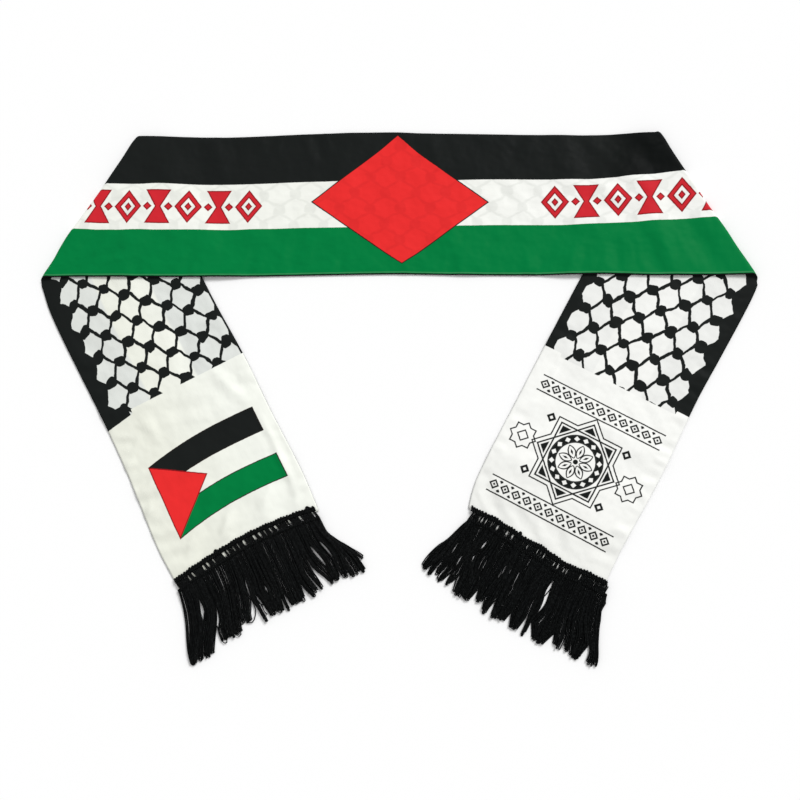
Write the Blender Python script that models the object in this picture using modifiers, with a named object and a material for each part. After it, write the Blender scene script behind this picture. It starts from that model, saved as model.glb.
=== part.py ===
"""Printed satin scarf of two plies, folded and laid flat, with a fringe sewn over each end.

The middle lies along X with the striped ply up. At both ends it turns slantwise under, and the two tails run
towards -Y below it with the net ply up. Metres, +Z up, resting on Z = 0, origin below the middle of its box.
"""
import math
import random

import bmesh
import bpy
from mathutils import Vector

# Cloth: one ply's wall, the gap between two plies, and the width between the long edges
WIDTH = 0.140
WALL = 0.0010
GAP = 0.0003
LAYER = WALL + GAP

# The centre of the middle, seen from the origin
MIDDLE_X, MIDDLE_Y = -0.0003, 0.1715

# Where each fold line meets the black edge and the green edge, measured from the middle of the scarf
FOLDS = {
    "left": {"hand": -1, "black_edge": 0.2474, "green_edge": 0.3313},
    "right": {"hand": 1, "black_edge": 0.2468, "green_edge": 0.3318},
}
FOLD_TUCK = 0.0020
FOLD_PUFF = 0.0015
PUFF_REACH = 0.034
TURN_STEPS = 6

# Hidden flanges below the middle, from the fold line to where a ply is parted from its tail
NET_FLANGE = 0.0105
STRIPED_FLANGE = 0.0165

# The middle comes down from the tails to the surface beyond the tails' inner edges
SHOULDER = 0.008
SHOULDER_RUN = 0.032

# Grid of each stretch: columns along the scarf, rows across it
MIDDLE_COLUMNS, MIDDLE_ROWS = 42, 9
NET_TAIL_COLUMNS, NET_TAIL_ROWS = 24, 7
STRIPED_TAIL_COLUMNS, STRIPED_TAIL_ROWS = 14, 3

# How far the middle's two long edges stray from straight, towards the black side
MIDDLE_EDGES = (
    {"place": -0.331, "black": 0.0000, "green": 0.0000},
    {"place": -0.225, "black": 0.0000, "green": -0.0008},
    {"place": -0.160, "black": -0.0018, "green": -0.0006},
    {"place": -0.070, "black": 0.0010, "green": 0.0010},
    {"place": 0.000, "black": 0.0018, "green": 0.0020},
    {"place": 0.060, "black": 0.0000, "green": 0.0010},
    {"place": 0.140, "black": -0.0018, "green": 0.0005},
    {"place": 0.195, "black": -0.0028, "green": 0.0010},
    {"place": 0.240, "black": -0.0006, "green": -0.0004},
    {"place": 0.331, "black": 0.0000, "green": 0.0000},
)

# How far each tail's long edges stray from straight, towards the black side, by place along the tail
TAIL_EDGES = {
    "left": (
        {"place": 0.000, "green": 0.0000, "black": 0.0000},
        {"place": 0.045, "green": -0.0024, "black": -0.0019},
        {"place": 0.100, "green": -0.0012, "black": -0.0019},
        {"place": 0.160, "green": 0.0009, "black": 0.0005},
        {"place": 0.220, "green": 0.0008, "black": 0.0002},
        {"place": 0.280, "green": -0.0018, "black": 0.0011},
        {"place": 0.320, "green": 0.0002, "black": -0.0012},
    ),
    "right": (
        {"place": 0.000, "green": 0.0000, "black": 0.0000},
        {"place": 0.030, "green": -0.0022, "black": 0.0002},
        {"place": 0.090, "green": -0.0008, "black": 0.0005},
        {"place": 0.130, "green": 0.0006, "black": 0.0005},
        {"place": 0.210, "green": -0.0006, "black": 0.0000},
        {"place": 0.275, "green": 0.0018, "black": -0.0008},
        {"place": 0.295, "green": 0.0016, "black": -0.0030},
        {"place": 0.320, "green": 0.0010, "black": -0.0070},
    ),
}

# Soft ridges of the middle: two ends on the cloth, height and half width
MIDDLE_RIDGES = (
    {"from": (-0.262, -0.085), "to": (-0.205, 0.060), "height": 0.0018, "half_width": 0.020},
    {"from": (-0.140, -0.080), "to": (-0.118, 0.020), "height": 0.0012, "half_width": 0.022},
    {"from": (-0.040, 0.085), "to": (-0.052, -0.020), "height": 0.0010, "half_width": 0.020},
    {"from": (0.072, -0.085), "to": (0.052, 0.000), "height": 0.0010, "half_width": 0.022},
    {"from": (0.150, 0.085), "to": (0.178, -0.030), "height": 0.0014, "half_width": 0.022},
    {"from": (0.262, -0.085), "to": (0.214, 0.055), "height": 0.0020, "half_width": 0.020},
)

# Soft ridges of the tails, by place along and across the tail
TAIL_RIDGES = {
    "left": (
        {"from": (0.150, -0.010), "to": (0.162, 0.070), "height": 0.0014, "half_width": 0.017},
        {"from": (0.205, 0.150), "to": (0.186, 0.060), "height": 0.0012, "half_width": 0.018},
        {"from": (0.232, -0.012), "to": (0.222, 0.085), "height": 0.0018, "half_width": 0.017},
        {"from": (0.268, 0.155), "to": (0.262, 0.050), "height": 0.0014, "half_width": 0.016},
    ),
    "right": (
        {"from": (0.140, 0.150), "to": (0.150, 0.060), "height": 0.0012, "half_width": 0.018},
        {"from": (0.192, -0.012), "to": (0.184, 0.090), "height": 0.0016, "half_width": 0.018},
        {"from": (0.258, 0.155), "to": (0.246, 0.060), "height": 0.0014, "half_width": 0.017},
        {"from": (0.272, -0.010), "to": (0.266, 0.060), "height": 0.0012, "half_width": 0.016},
    ),
}
TAIL_FLAT_BELOW_MIDDLE = 0.012
TAIL_FLAT_AT_HEADER = 0.014
RIDGE_FADE = 0.022
RIDGE_TAPER = 0.7
RIDGE_START = 0.3

# Fringe header: a narrow strip over the cloth's end, by the place of its upper line across the tail
HEADER_WIDTH = 0.0125
HEADER_THICKNESS = 0.0014
HEADER_OVERHANG = 0.0030
HEADER_LINES = {
    "left": (
        {"across": 0.000, "place": 0.3130},
        {"across": 0.035, "place": 0.3076},
        {"across": 0.080, "place": 0.3052},
        {"across": 0.115, "place": 0.3070},
        {"across": 0.140, "place": 0.3115},
    ),
    "right": (
        {"across": 0.000, "place": 0.3052},
        {"across": 0.035, "place": 0.3085},
        {"across": 0.070, "place": 0.3058},
        {"across": 0.107, "place": 0.3028},
        {"across": 0.140, "place": 0.3050},
    ),
}
HEADER_STEPS = 8

# Fringe threads: two layers of strands, fused to the header at their roots
STRANDS_A_LAYER = 46
ROOT_SHARE = 0.80
STRAND_THICKNESS = 0.00055
STRAND_ABOVE_FLOOR = 0.0003
STRAND_STATIONS = (0.15, 0.38, 0.70, 1.0)
STRAND_WIDTHS = (0.0022, 0.0020, 0.0018, 0.0011)
STRAND_DROPS = (0.30, 1.0, 1.0, 1.0)
CLUMP_SIZES = (3, 4, 5, 6)
CLUMP_PINCH = 0.42
UPPER_LIFT = 0.0012
STRAND_BEND = 1.5
FRINGES = {
    "left": {
        "green_end": 0.0000, "black_end": 0.1395,
        "seed": 11, "green_reach": 0.0605, "black_reach": 0.0560, "uneven": 0.0030,
        "green_splay": 0.0160, "black_splay": 0.0150, "green_power": 2.0, "black_power": 3.0,
    },
    "right": {
        "green_end": 0.0005, "black_end": 0.1335,
        "seed": 29, "green_reach": 0.0560, "black_reach": 0.0520, "uneven": 0.0030,
        "green_splay": 0.0215, "black_splay": 0.0120, "green_power": 1.8, "black_power": 3.0,
    },
}

COLOURS = {
    "black_satin": ((0.020, 0.022, 0.022, 1.0), 0.45),
    "white_satin": ((0.860, 0.865, 0.835, 1.0), 0.42),
    "green_satin": ((0.004, 0.200, 0.055, 1.0), 0.45),
    "black_yarn": ((0.005, 0.006, 0.006, 1.0), 0.85),
}


def clear_scene():
    """Start from an empty scene."""
    for old in list(bpy.data.objects):
        bpy.data.objects.remove(old, do_unlink=True)


def make_collection(name):
    """A collection for the scarf's pieces."""
    group = bpy.data.collections.new(name)
    bpy.context.scene.collection.children.link(group)
    return group


def make_material(name):
    """A plain cloth or yarn finish."""
    colour, roughness = COLOURS[name]
    material = bpy.data.materials.new(name)
    material.use_nodes = True
    surface = material.node_tree.nodes["Principled BSDF"]
    surface.inputs["Base Color"].default_value = colour
    surface.inputs["Roughness"].default_value = roughness
    surface.inputs["Metallic"].default_value = 0.0
    return material


def from_origin(x, y, z):
    """A point measured from the centre of the middle, seen from the part's own origin."""
    return Vector((x + MIDDLE_X, y + MIDDLE_Y, z))


def smooth_step(share):
    """0 to 1 with soft ends."""
    share = min(max(share, 0.0), 1.0)
    return share * share * (3.0 - 2.0 * share)


def read_table(rows, key, column, place):
    """The column's value at a place, on a smooth curve through the table's rows."""
    places = [row[key] for row in rows]
    values = [row[column] for row in rows]
    place = min(max(place, places[0]), places[-1])
    last = len(rows) - 1
    i = min(max(sum(1 for p in places if p <= place) - 1, 0), last - 1)
    before, after = max(i - 1, 0), min(i + 2, last)
    span = places[i + 1] - places[i]
    slope_in = (values[i + 1] - values[before]) / (places[i + 1] - places[before]) * span
    slope_out = (values[after] - values[i]) / (places[after] - places[i]) * span
    s = (place - places[i]) / span
    return (
        (2 * s**3 - 3 * s**2 + 1) * values[i]
        + (s**3 - 2 * s**2 + s) * slope_in
        + (-2 * s**3 + 3 * s**2) * values[i + 1]
        + (s**3 - s**2) * slope_out
    )


def ridge_lift(ridges, point):
    """How far the soft ridges lift the cloth at a point."""
    lift = 0.0
    for ridge in ridges:
        start, end = Vector(ridge["from"]), Vector(ridge["to"])
        axis = end - start
        share = (point - start).dot(axis) / axis.length_squared
        aside = (point - start - share * axis).length / ridge["half_width"]
        if aside < 1.0 and 0.0 < share < 1.0:
            rise = math.cos(aside * math.pi / 2) ** 2 * math.sin(share * math.pi) ** RIDGE_TAPER
            lift += ridge["height"] * rise
    return lift


class Fold:
    """One slanted fold: its line, and the directions of the tail that leaves it."""

    def __init__(self, side):
        """Work out the fold's frame from where its line meets the two edges."""
        row = FOLDS[side]
        self.side = side
        self.green = Vector((row["hand"] * row["green_edge"], -WIDTH / 2))
        self.black = Vector((row["hand"] * row["black_edge"], WIDTH / 2))
        self.line = (self.black - self.green).normalized()
        inward = Vector((-row["hand"], 0.0))
        self.normal = (inward - inward.dot(self.line) * self.line).normalized()
        self.slant = inward.dot(self.line) / inward.dot(self.normal)
        self.along = inward.dot(self.normal) * self.normal - inward.dot(self.line) * self.line
        upward = Vector((0.0, 1.0))
        self.across = 2 * upward.dot(self.line) * self.line - upward

    def crossing(self, across):
        """The point of the fold line at a distance from the green edge."""
        return self.green.lerp(self.black, across / WIDTH)

    def depth(self, point):
        """How far a point of the middle lies inside the fold line."""
        return (point - self.green).dot(self.normal)

    def tail_place(self, depth, across):
        """The place along the tail at a depth inside the fold line."""
        start = (self.crossing(across) - self.green).dot(self.along)
        return start + depth / self.along.dot(self.normal)

    def tail_point(self, place, across):
        """A point of the tail in the plan."""
        rows = TAIL_EDGES[self.side]
        green = read_table(rows, "place", "green", place)
        black = read_table(rows, "place", "black", place)
        shifted = across + green + (black - green) * across / WIDTH
        return self.green + place * self.along + shifted * self.across

    def header_place(self, across):
        """The place along the tail of the fringe header's upper line."""
        return read_table(HEADER_LINES[self.side], "across", "place", across)

    def end_place(self, across):
        """The place along the tail of the cloth's end, hidden below the header."""
        return self.header_place(across) + HEADER_WIDTH - HEADER_OVERHANG


def middle_shift(x, across):
    """How far the middle strays from straight at a point, towards the black side."""
    green = read_table(MIDDLE_EDGES, "place", "green", x)
    black = read_table(MIDDLE_EDGES, "place", "black", x)
    return green + (black - green) * across / WIDTH


def middle_base(point, folds):
    """Height of the middle's underside: up on the tails, down on the surface between them."""
    over_tail = 2 * LAYER
    base = 0.0
    puff = 0.0
    for fold in folds:
        beyond = (point - fold.green).dot(fold.across) - WIDTH - SHOULDER
        base = max(base, over_tail * (1.0 - smooth_step(beyond / SHOULDER_RUN)))
        inside = fold.depth(point) / PUFF_REACH
        puff = max(puff, FOLD_PUFF * (1.0 - smooth_step(inside)))
    ridges = ridge_lift(MIDDLE_RIDGES, point)
    calm = smooth_step(min(fold.depth(point) for fold in folds) / RIDGE_FADE - RIDGE_START)
    return base + puff + ridges * calm


def turn_point(fold, across, share, radius, outer_radius):
    """A point of the turn round a fold: share 0 is its top, 1 its bottom, round one axis for both plies."""
    angle = math.pi * share
    axis_depth = math.pi * outer_radius / 2 + FOLD_TUCK
    depth = axis_depth - radius * math.sin(angle)
    slide = fold.slant * axis_depth * (1.0 - 2.0 * share)
    plan = fold.crossing(across) + depth * fold.normal + slide * fold.line
    height = WALL / 2 + outer_radius + radius * math.cos(angle)
    return (plan.x, plan.y, height)


def middle_section(folds, column, across, level, flange):
    """A point of one ply of the middle, by its column from the left flange to the right one.

    Level 0 is the net ply, which turns inside the striped one, level 1 the striped ply.
    """
    outer_radius = (3 * LAYER + FOLD_PUFF) / 2
    radius = outer_radius - LAYER * (1 - level)
    turn_columns = TURN_STEPS + 1
    last = MIDDLE_COLUMNS + 2 * turn_columns
    from_right = column > last / 2
    fold = folds[1] if from_right else folds[0]
    step = last - column if from_right else column
    if step == 0:
        plan = fold.tail_point(fold.tail_place(flange, across), across)
        return (plan.x, plan.y, WALL / 2 + outer_radius - radius)
    if step <= turn_columns:
        share = 1.0 - (step - 1) / TURN_STEPS
        return turn_point(fold, across, share, radius, outer_radius)
    left = Vector(turn_point(folds[0], across, 0.0, radius, outer_radius)).xy
    right = Vector(turn_point(folds[1], across, 0.0, radius, outer_radius)).xy
    plan = left.lerp(right, (column - turn_columns) / MIDDLE_COLUMNS)
    plan.y += middle_shift(plan.x, across)
    return (plan.x, plan.y, middle_base(plan, folds) + WALL / 2 + level * LAYER)


def tail_section(fold, share, across, level, flange):
    """A point of one ply of a tail, by its share of the way from the hidden flange to the end.

    Level 0 is the striped ply, flat on the surface, level 1 the net ply with its ridges.
    """
    start = fold.tail_place(flange + GAP, across)
    place = start + (fold.end_place(across) - start) * share
    plan = fold.tail_point(place, across)
    height = WALL / 2 + level * LAYER
    if level:
        below_middle = -WIDTH / 2 - TAIL_FLAT_BELOW_MIDDLE - plan.y
        above_header = fold.header_place(across) - TAIL_FLAT_AT_HEADER - place
        calm = smooth_step(below_middle / RIDGE_FADE) * smooth_step(above_header / RIDGE_FADE)
        height += calm * ridge_lift(TAIL_RIDGES[fold.side], Vector((place, across)))
    return (plan.x, plan.y, height)


def sheet_object(name, columns, rows, place_vertex, group, materials, stripe_rows=0):
    """A cloth wall through a grid of points, each placed by its column and its row."""
    bm = bmesh.new()
    bmesh.ops.create_grid(bm, x_segments=columns, y_segments=rows, size=0.5)
    for face in bm.faces:
        row = int((face.calc_center_median().y + 0.5) * rows)
        face.material_index = row // stripe_rows if stripe_rows else 0
        face.smooth = True
    for vertex in bm.verts:
        column = round((vertex.co.x + 0.5) * columns)
        row = round((vertex.co.y + 0.5) * rows)
        vertex.co = from_origin(*place_vertex(column, row))
    bmesh.ops.recalc_face_normals(bm, faces=bm.faces)
    mesh = bpy.data.meshes.new(name)
    bm.to_mesh(mesh)
    bm.free()
    for material in materials:
        mesh.materials.append(material)
    sheet = bpy.data.objects.new(name, mesh)
    group.objects.link(sheet)
    wall = sheet.modifiers.new("Wall", "SOLIDIFY")
    wall.thickness = WALL
    wall.offset = 0.0
    wall.use_even_offset = True


def make_middle(folds, group, finishes):
    """The striped ply over the net ply, each with its turns at both folds."""
    columns = MIDDLE_COLUMNS + 2 * (TURN_STEPS + 1)
    stripes = [finishes["green_satin"], finishes["white_satin"], finishes["black_satin"]]
    sheet_object(
        "centre_striped_panel", columns, MIDDLE_ROWS,
        lambda column, row: middle_section(folds, column, WIDTH * row / MIDDLE_ROWS, 1, STRIPED_FLANGE),
        group, stripes, MIDDLE_ROWS // 3,
    )
    sheet_object(
        "centre_net_panel", columns, MIDDLE_ROWS,
        lambda column, row: middle_section(folds, column, WIDTH * row / MIDDLE_ROWS, 0, NET_FLANGE),
        group, [finishes["white_satin"]],
    )


def make_tail(fold, group, finishes):
    """A tail's net ply over its striped ply."""
    stripes = [finishes["green_satin"], finishes["white_satin"], finishes["black_satin"]]
    sheet_object(
        f"{fold.side}_tail_net_panel", NET_TAIL_COLUMNS, NET_TAIL_ROWS,
        lambda column, row: tail_section(
            fold, column / NET_TAIL_COLUMNS, WIDTH * row / NET_TAIL_ROWS, 1, NET_FLANGE
        ),
        group, [finishes["white_satin"]],
    )
    sheet_object(
        f"{fold.side}_tail_striped_panel", STRIPED_TAIL_COLUMNS, STRIPED_TAIL_ROWS,
        lambda column, row: tail_section(
            fold, column / STRIPED_TAIL_COLUMNS, WIDTH * row / STRIPED_TAIL_ROWS, 0, STRIPED_FLANGE
        ),
        group, stripes, STRIPED_TAIL_ROWS // 3,
    )


def strand_roots(row):
    """Across place of each strand's root in one layer, and the pitch between them."""
    pitch = (row["black_end"] - row["green_end"]) / STRANDS_A_LAYER
    return [row["green_end"] + pitch * (k + 0.5) for k in range(STRANDS_A_LAYER)], pitch


def strand_tips(row, roots, rng):
    """Across place of each strand's tip in one layer, splayed and gathered into uneven clumps."""
    spread = []
    for root in roots:
        to_green = (1.0 - root / WIDTH) ** row["green_power"]
        to_black = (root / WIDTH) ** row["black_power"]
        spread.append(root - row["green_splay"] * to_green + row["black_splay"] * to_black)
    tips = []
    while len(tips) < STRANDS_A_LAYER:
        first = len(tips)
        clump = spread[first:first + rng.choice(CLUMP_SIZES)]
        centre = sum(clump) / len(clump)
        tips += [tip + (centre - tip) * CLUMP_PINCH for tip in clump]
    return tips


def strand_section(fold, root, tip, reach, step, height, lift):
    """Place along, place across, underside and half width of a strand at one of its stations."""
    station = STRAND_STATIONS[step]
    across = root + (tip - root) * station**STRAND_BEND
    place = fold.header_place(root) + HEADER_WIDTH + reach * station
    floor = STRAND_ABOVE_FLOOR + (height - 2 * LAYER)
    bottom = height + (floor - height) * STRAND_DROPS[step] + lift * math.sin(math.pi * station) ** 2
    return place, across, bottom, STRAND_WIDTHS[step] / 2


def fringe_point(fold, place, across, height):
    """A point of the fringe in space, beyond the tail's own edges too."""
    plan = fold.green + place * fold.along + across * fold.across
    return from_origin(plan.x, plan.y, height)


def make_fringe(fold, group, finish):
    """A header strip over the cloth's end with two layers of strands drawn out of its lower face."""
    row = FRINGES[fold.side]
    rng = random.Random(row["seed"])
    roots, pitch = strand_roots(row)
    borders = [row["green_end"]]
    for root in roots:
        borders += [root - ROOT_SHARE * pitch / 2, root + ROOT_SHARE * pitch / 2]
    borders.append(row["black_end"])
    bottom = 2 * LAYER
    top = bottom + HEADER_THICKNESS
    levels = (bottom, bottom + STRAND_THICKNESS, top - STRAND_THICKNESS, top)

    bm = bmesh.new()
    cells = len(borders) - 1
    bmesh.ops.create_grid(bm, x_segments=cells, y_segments=3, size=0.5)
    grid = {}
    for vertex in bm.verts:
        i, j = round((vertex.co.x + 0.5) * cells), round((vertex.co.y + 0.5) * 3)
        grid[i, j] = vertex
        place = fold.header_place(borders[i]) + HEADER_WIDTH
        vertex.co = fringe_point(fold, place, borders[i], levels[j])
    root_faces = {}
    for face in bm.faces:
        i, j = min(key for key, vertex in grid.items() if vertex in face.verts)
        if i % 2 == 1 and j != 1:
            root_faces[i // 2, j // 2] = face
    close_header(bm, fold, row, grid, cells)
    for layer in (0, 1):
        tips = strand_tips(row, roots, rng)
        for k, root in enumerate(roots):
            share = root / WIDTH
            reach = row["green_reach"] + (row["black_reach"] - row["green_reach"]) * share
            reach -= row["uneven"] * rng.random()
            lift = UPPER_LIFT * rng.random() * layer
            draw_strand(bm, fold, root_faces[k, layer], root, tips[k], reach, levels[2 * layer], lift)
    bmesh.ops.recalc_face_normals(bm, faces=bm.faces)
    mesh = bpy.data.meshes.new(f"{fold.side}_fringe")
    bm.to_mesh(mesh)
    bm.free()
    mesh.materials.append(finish)
    group.objects.link(bpy.data.objects.new(mesh.name, mesh))


def close_header(bm, fold, row, grid, cells):
    """The header's top, underside, ends and upper face, behind the grid that carries the strands."""
    heights = (grid[0, 0].co.z, grid[0, 3].co.z)
    back = []
    for step in range(HEADER_STEPS + 1):
        across = row["green_end"] + (row["black_end"] - row["green_end"]) * step / HEADER_STEPS
        place = fold.header_place(across)
        back.append([bm.verts.new(fringe_point(fold, place, across, z)) for z in heights])
    bm.faces.new([grid[i, 0] for i in range(cells + 1)] + [pair[0] for pair in reversed(back)])
    bm.faces.new([grid[i, 3] for i in range(cells + 1)] + [pair[1] for pair in reversed(back)])
    bm.faces.new([grid[0, j] for j in range(4)] + [back[0][1], back[0][0]])
    bm.faces.new([grid[cells, j] for j in range(4)] + [back[-1][1], back[-1][0]])
    for near, far in zip(back, back[1:]):
        bm.faces.new([near[0], far[0], far[1], near[1]])


def draw_strand(bm, fold, face, root, tip, reach, height, lift):
    """One strand, drawn out of its root face station by station."""
    for step in range(len(STRAND_STATIONS)):
        centre = face.calc_center_median()
        signs = []
        for vertex in face.verts:
            offset = vertex.co - centre
            signs.append((math.copysign(1, offset.xy.dot(fold.across)), math.copysign(1, offset.z)))
        face = bmesh.ops.extrude_discrete_faces(bm, faces=[face])["faces"][0]
        place, across, bottom, half_width = strand_section(fold, root, tip, reach, step, height, lift)
        for vertex, (aside, upward) in zip(face.verts, signs):
            z = bottom + STRAND_THICKNESS * (upward > 0)
            vertex.co = fringe_point(fold, place, across + aside * half_width, z)


def main():
    """Build the scarf."""
    clear_scene()
    group = make_collection("keffiyeh_scarf")
    finishes = {name: make_material(name) for name in COLOURS}
    folds = (Fold("left"), Fold("right"))
    make_middle(folds, group, finishes)
    for fold in folds:
        make_tail(fold, group, finishes)
        make_fringe(fold, group, finishes["black_yarn"])


main()
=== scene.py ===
"""Looks of the printed satin scarf: two creased plies, a knotted-net print, stripes, and thread fringes.

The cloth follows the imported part's own form: the middle lies along X, turns slantwise under at both ends, and the
tails run towards -Y below it. Metres, +Z up, resting on Z = 0.
"""

import logging
import math
import random
from dataclasses import dataclass, field
from enum import Enum

import bmesh
import bpy
import numpy as np
from mathutils import Matrix, Vector


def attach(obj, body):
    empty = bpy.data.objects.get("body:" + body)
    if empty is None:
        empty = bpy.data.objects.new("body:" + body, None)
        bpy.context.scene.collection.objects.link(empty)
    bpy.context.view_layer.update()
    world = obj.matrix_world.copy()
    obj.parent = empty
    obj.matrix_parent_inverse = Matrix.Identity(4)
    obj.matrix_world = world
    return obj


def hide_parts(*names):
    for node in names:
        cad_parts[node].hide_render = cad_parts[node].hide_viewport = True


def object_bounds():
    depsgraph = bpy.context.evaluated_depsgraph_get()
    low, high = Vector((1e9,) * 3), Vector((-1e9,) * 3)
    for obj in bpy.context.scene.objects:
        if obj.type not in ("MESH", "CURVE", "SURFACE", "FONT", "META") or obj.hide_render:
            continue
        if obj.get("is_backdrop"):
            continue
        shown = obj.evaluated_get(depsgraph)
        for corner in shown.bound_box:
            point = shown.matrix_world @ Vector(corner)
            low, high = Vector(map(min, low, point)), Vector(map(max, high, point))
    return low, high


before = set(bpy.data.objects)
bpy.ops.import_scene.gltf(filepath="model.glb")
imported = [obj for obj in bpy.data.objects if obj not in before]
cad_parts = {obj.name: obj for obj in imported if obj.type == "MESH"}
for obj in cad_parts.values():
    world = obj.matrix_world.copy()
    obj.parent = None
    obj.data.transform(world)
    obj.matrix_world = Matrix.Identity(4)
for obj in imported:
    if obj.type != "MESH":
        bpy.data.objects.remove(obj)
LOG = logging.getLogger("scarf")

WIDTH = 0.140  # of the cloth, between its sewn edges
WALL = 0.0010  # of a solid's ply
LAYER = 0.0013  # from one ply to the next
MIDDLE = (-0.0003, 0.1715)  # centre of the stretch that lies across
MM = 1000.0  # in a metre
DIAGONAL = 0.7071  # the cosine of 45 degrees


class Side(Enum):
    """The two ends of the scarf, by the sign of X where their folds lie."""

    LEFT = -1
    RIGHT = 1


class Ply(Enum):
    """The two plies, by their level in the middle of the scarf."""

    NET = 0
    STRIPED = 1


class CreaseKind(Enum):
    """Kinds of crease, each by the taper of its ends and the share of its shoulders, of the other sign."""

    MAIN = (0.7, 0.0)
    FINE = (0.8, 0.35)


def add_object(name: str, data: bpy.types.ID) -> bpy.types.Object:
    """Put an object into the scene.

    Args:
        name: the object's name.
        data: its mesh, curve, light or camera.

    Returns:
        The object, at the origin.
    """
    made = bpy.data.objects.new(name, data)
    bpy.context.scene.collection.objects.link(made)
    return made


def finished_mesh(
    name: str, bm: bmesh.types.BMesh, material: bpy.types.Material, smooth: bool = True
) -> bpy.types.Mesh:
    """Turn a bmesh into a mesh and free it.

    Args:
        name: the mesh's name.
        bm: the bmesh.
        material: the mesh's finish.
        smooth: shade its faces smooth.

    Returns:
        The mesh.
    """
    for face in bm.faces:
        face.smooth = smooth
    mesh = bpy.data.meshes.new(name)
    bm.to_mesh(mesh)
    bm.free()
    mesh.materials.clear()
    mesh.materials.append(material)
    return mesh


def smooth_step(share: np.ndarray) -> np.ndarray:
    """0 to 1 with soft ends."""
    share = np.clip(share, 0.0, 1.0)
    return share * share * (3.0 - 2.0 * share)


def smooth_table(places: tuple, values: tuple, place: np.ndarray) -> np.ndarray:
    """Read a table on a smooth curve through its rows.

    Args:
        places: where the table's rows stand, rising.
        values: the value of each row.
        place: where to read it.

    Returns:
        The value at each place.
    """
    rows, held = np.array(places), np.array(values)
    place = np.clip(place, rows[0], rows[-1])
    last = len(rows) - 1
    i = np.clip(np.searchsorted(rows, place, side="right") - 1, 0, last - 1)
    before, after = np.maximum(i - 1, 0), np.minimum(i + 2, last)
    span = rows[i + 1] - rows[i]
    slope_in = (held[i + 1] - held[before]) / (rows[i + 1] - rows[before]) * span
    slope_out = (held[after] - held[i]) / (rows[after] - rows[i]) * span
    s = (place - rows[i]) / span
    return (
        (2 * s**3 - 3 * s**2 + 1) * held[i]
        + (s**3 - 2 * s**2 + s) * slope_in
        + (-2 * s**3 + 3 * s**2) * held[i + 1]
        + (s**3 - s**2) * slope_out
    )


@dataclass(frozen=True)
class Crease:
    """One soft ridge, or a trough where its height is negative, between two points of the cloth."""

    start: tuple[float, float]
    end: tuple[float, float]
    height: float
    half_width: float
    taper: float
    shoulder: float

    def lift(self, x: np.ndarray, y: np.ndarray) -> np.ndarray:
        """How far the crease lifts the cloth.

        Args:
            x: places along the cloth.
            y: places across it.

        Returns:
            The lift at each point.
        """
        dx, dy = self.end[0] - self.start[0], self.end[1] - self.start[1]
        share = ((x - self.start[0]) * dx + (y - self.start[1]) * dy) / (dx * dx + dy * dy)
        aside = np.hypot(x - self.start[0] - share * dx, y - self.start[1] - share * dy) / self.half_width
        rise = np.cos(np.clip(aside, 0, 1) * math.pi / 2) ** 2
        rise = rise - self.shoulder * np.sin(np.clip(aside - 1, 0, 1) * math.pi) ** 2
        return self.height * rise * np.sin(np.clip(share, 0, 1) * math.pi) ** self.taper


def creases(kind: CreaseKind, *rows: tuple) -> tuple[Crease, ...]:
    """Make creases from a table in millimetres.

    Args:
        kind: how their ends taper and whether they have shoulders.
        rows: X and Y of the start, X and Y of the end, the height and the half width of each.

    Returns:
        The creases, in metres.
    """
    made = []
    for row in rows:
        x0, y0, x1, y1, height, half_width = (size / MM for size in row)
        made.append(Crease((x0, y0), (x1, y1), height, half_width, *kind.value))
    return tuple(made)


def lift_of(group: tuple[Crease, ...], x: np.ndarray, y: np.ndarray) -> np.ndarray:
    """Add up the lift of several creases.

    Args:
        group: the creases.
        x: places along the cloth.
        y: places across it.

    Returns:
        Their lift together at each point.
    """
    total = np.zeros(np.broadcast(x, y).shape)
    for crease in group:
        total = total + crease.lift(x, y)
    return total


@dataclass(frozen=True)
class FoldSizes:
    """One slanted fold, the tail that leaves it, and the line of that tail's fringe."""

    side: Side
    black_edge: float
    green_edge: float
    edge_places: tuple
    green_strays: tuple
    black_strays: tuple
    header_across: tuple
    header_places: tuple
    bulge_across: tuple
    bulges: tuple
    slips: tuple
    corner_tuck: float


LEFT_FOLD = FoldSizes(
    side=Side.LEFT,
    black_edge=0.2474,
    green_edge=0.3313,
    edge_places=(0.000, 0.045, 0.100, 0.160, 0.220, 0.280, 0.320),
    green_strays=(0.0000, -0.0024, -0.0012, 0.0009, 0.0008, -0.0018, 0.0002),
    black_strays=(0.0000, -0.0019, -0.0019, 0.0005, 0.0002, 0.0011, -0.0012),
    header_across=(0.000, 0.035, 0.080, 0.115, 0.140),
    header_places=(0.3130, 0.3076, 0.3052, 0.3070, 0.3115),
    bulge_across=(0.000, 0.018, 0.024, 0.030, 0.041, 0.053, 0.083, 0.101, 0.119, 0.131, 0.140),
    bulges=(-0.0022, -0.0018, -0.0009, -0.0001, 0.0007, 0.0002, -0.0004, 0.0002, 0.0006, 0.0013, 0.0013),
    slips=(0.0, 0.0, 0.0, 0.0, 0.0, 0.0, 0.0, 0.0, -0.0004, -0.0011, -0.0021),
    corner_tuck=0.0030,
)
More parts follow.
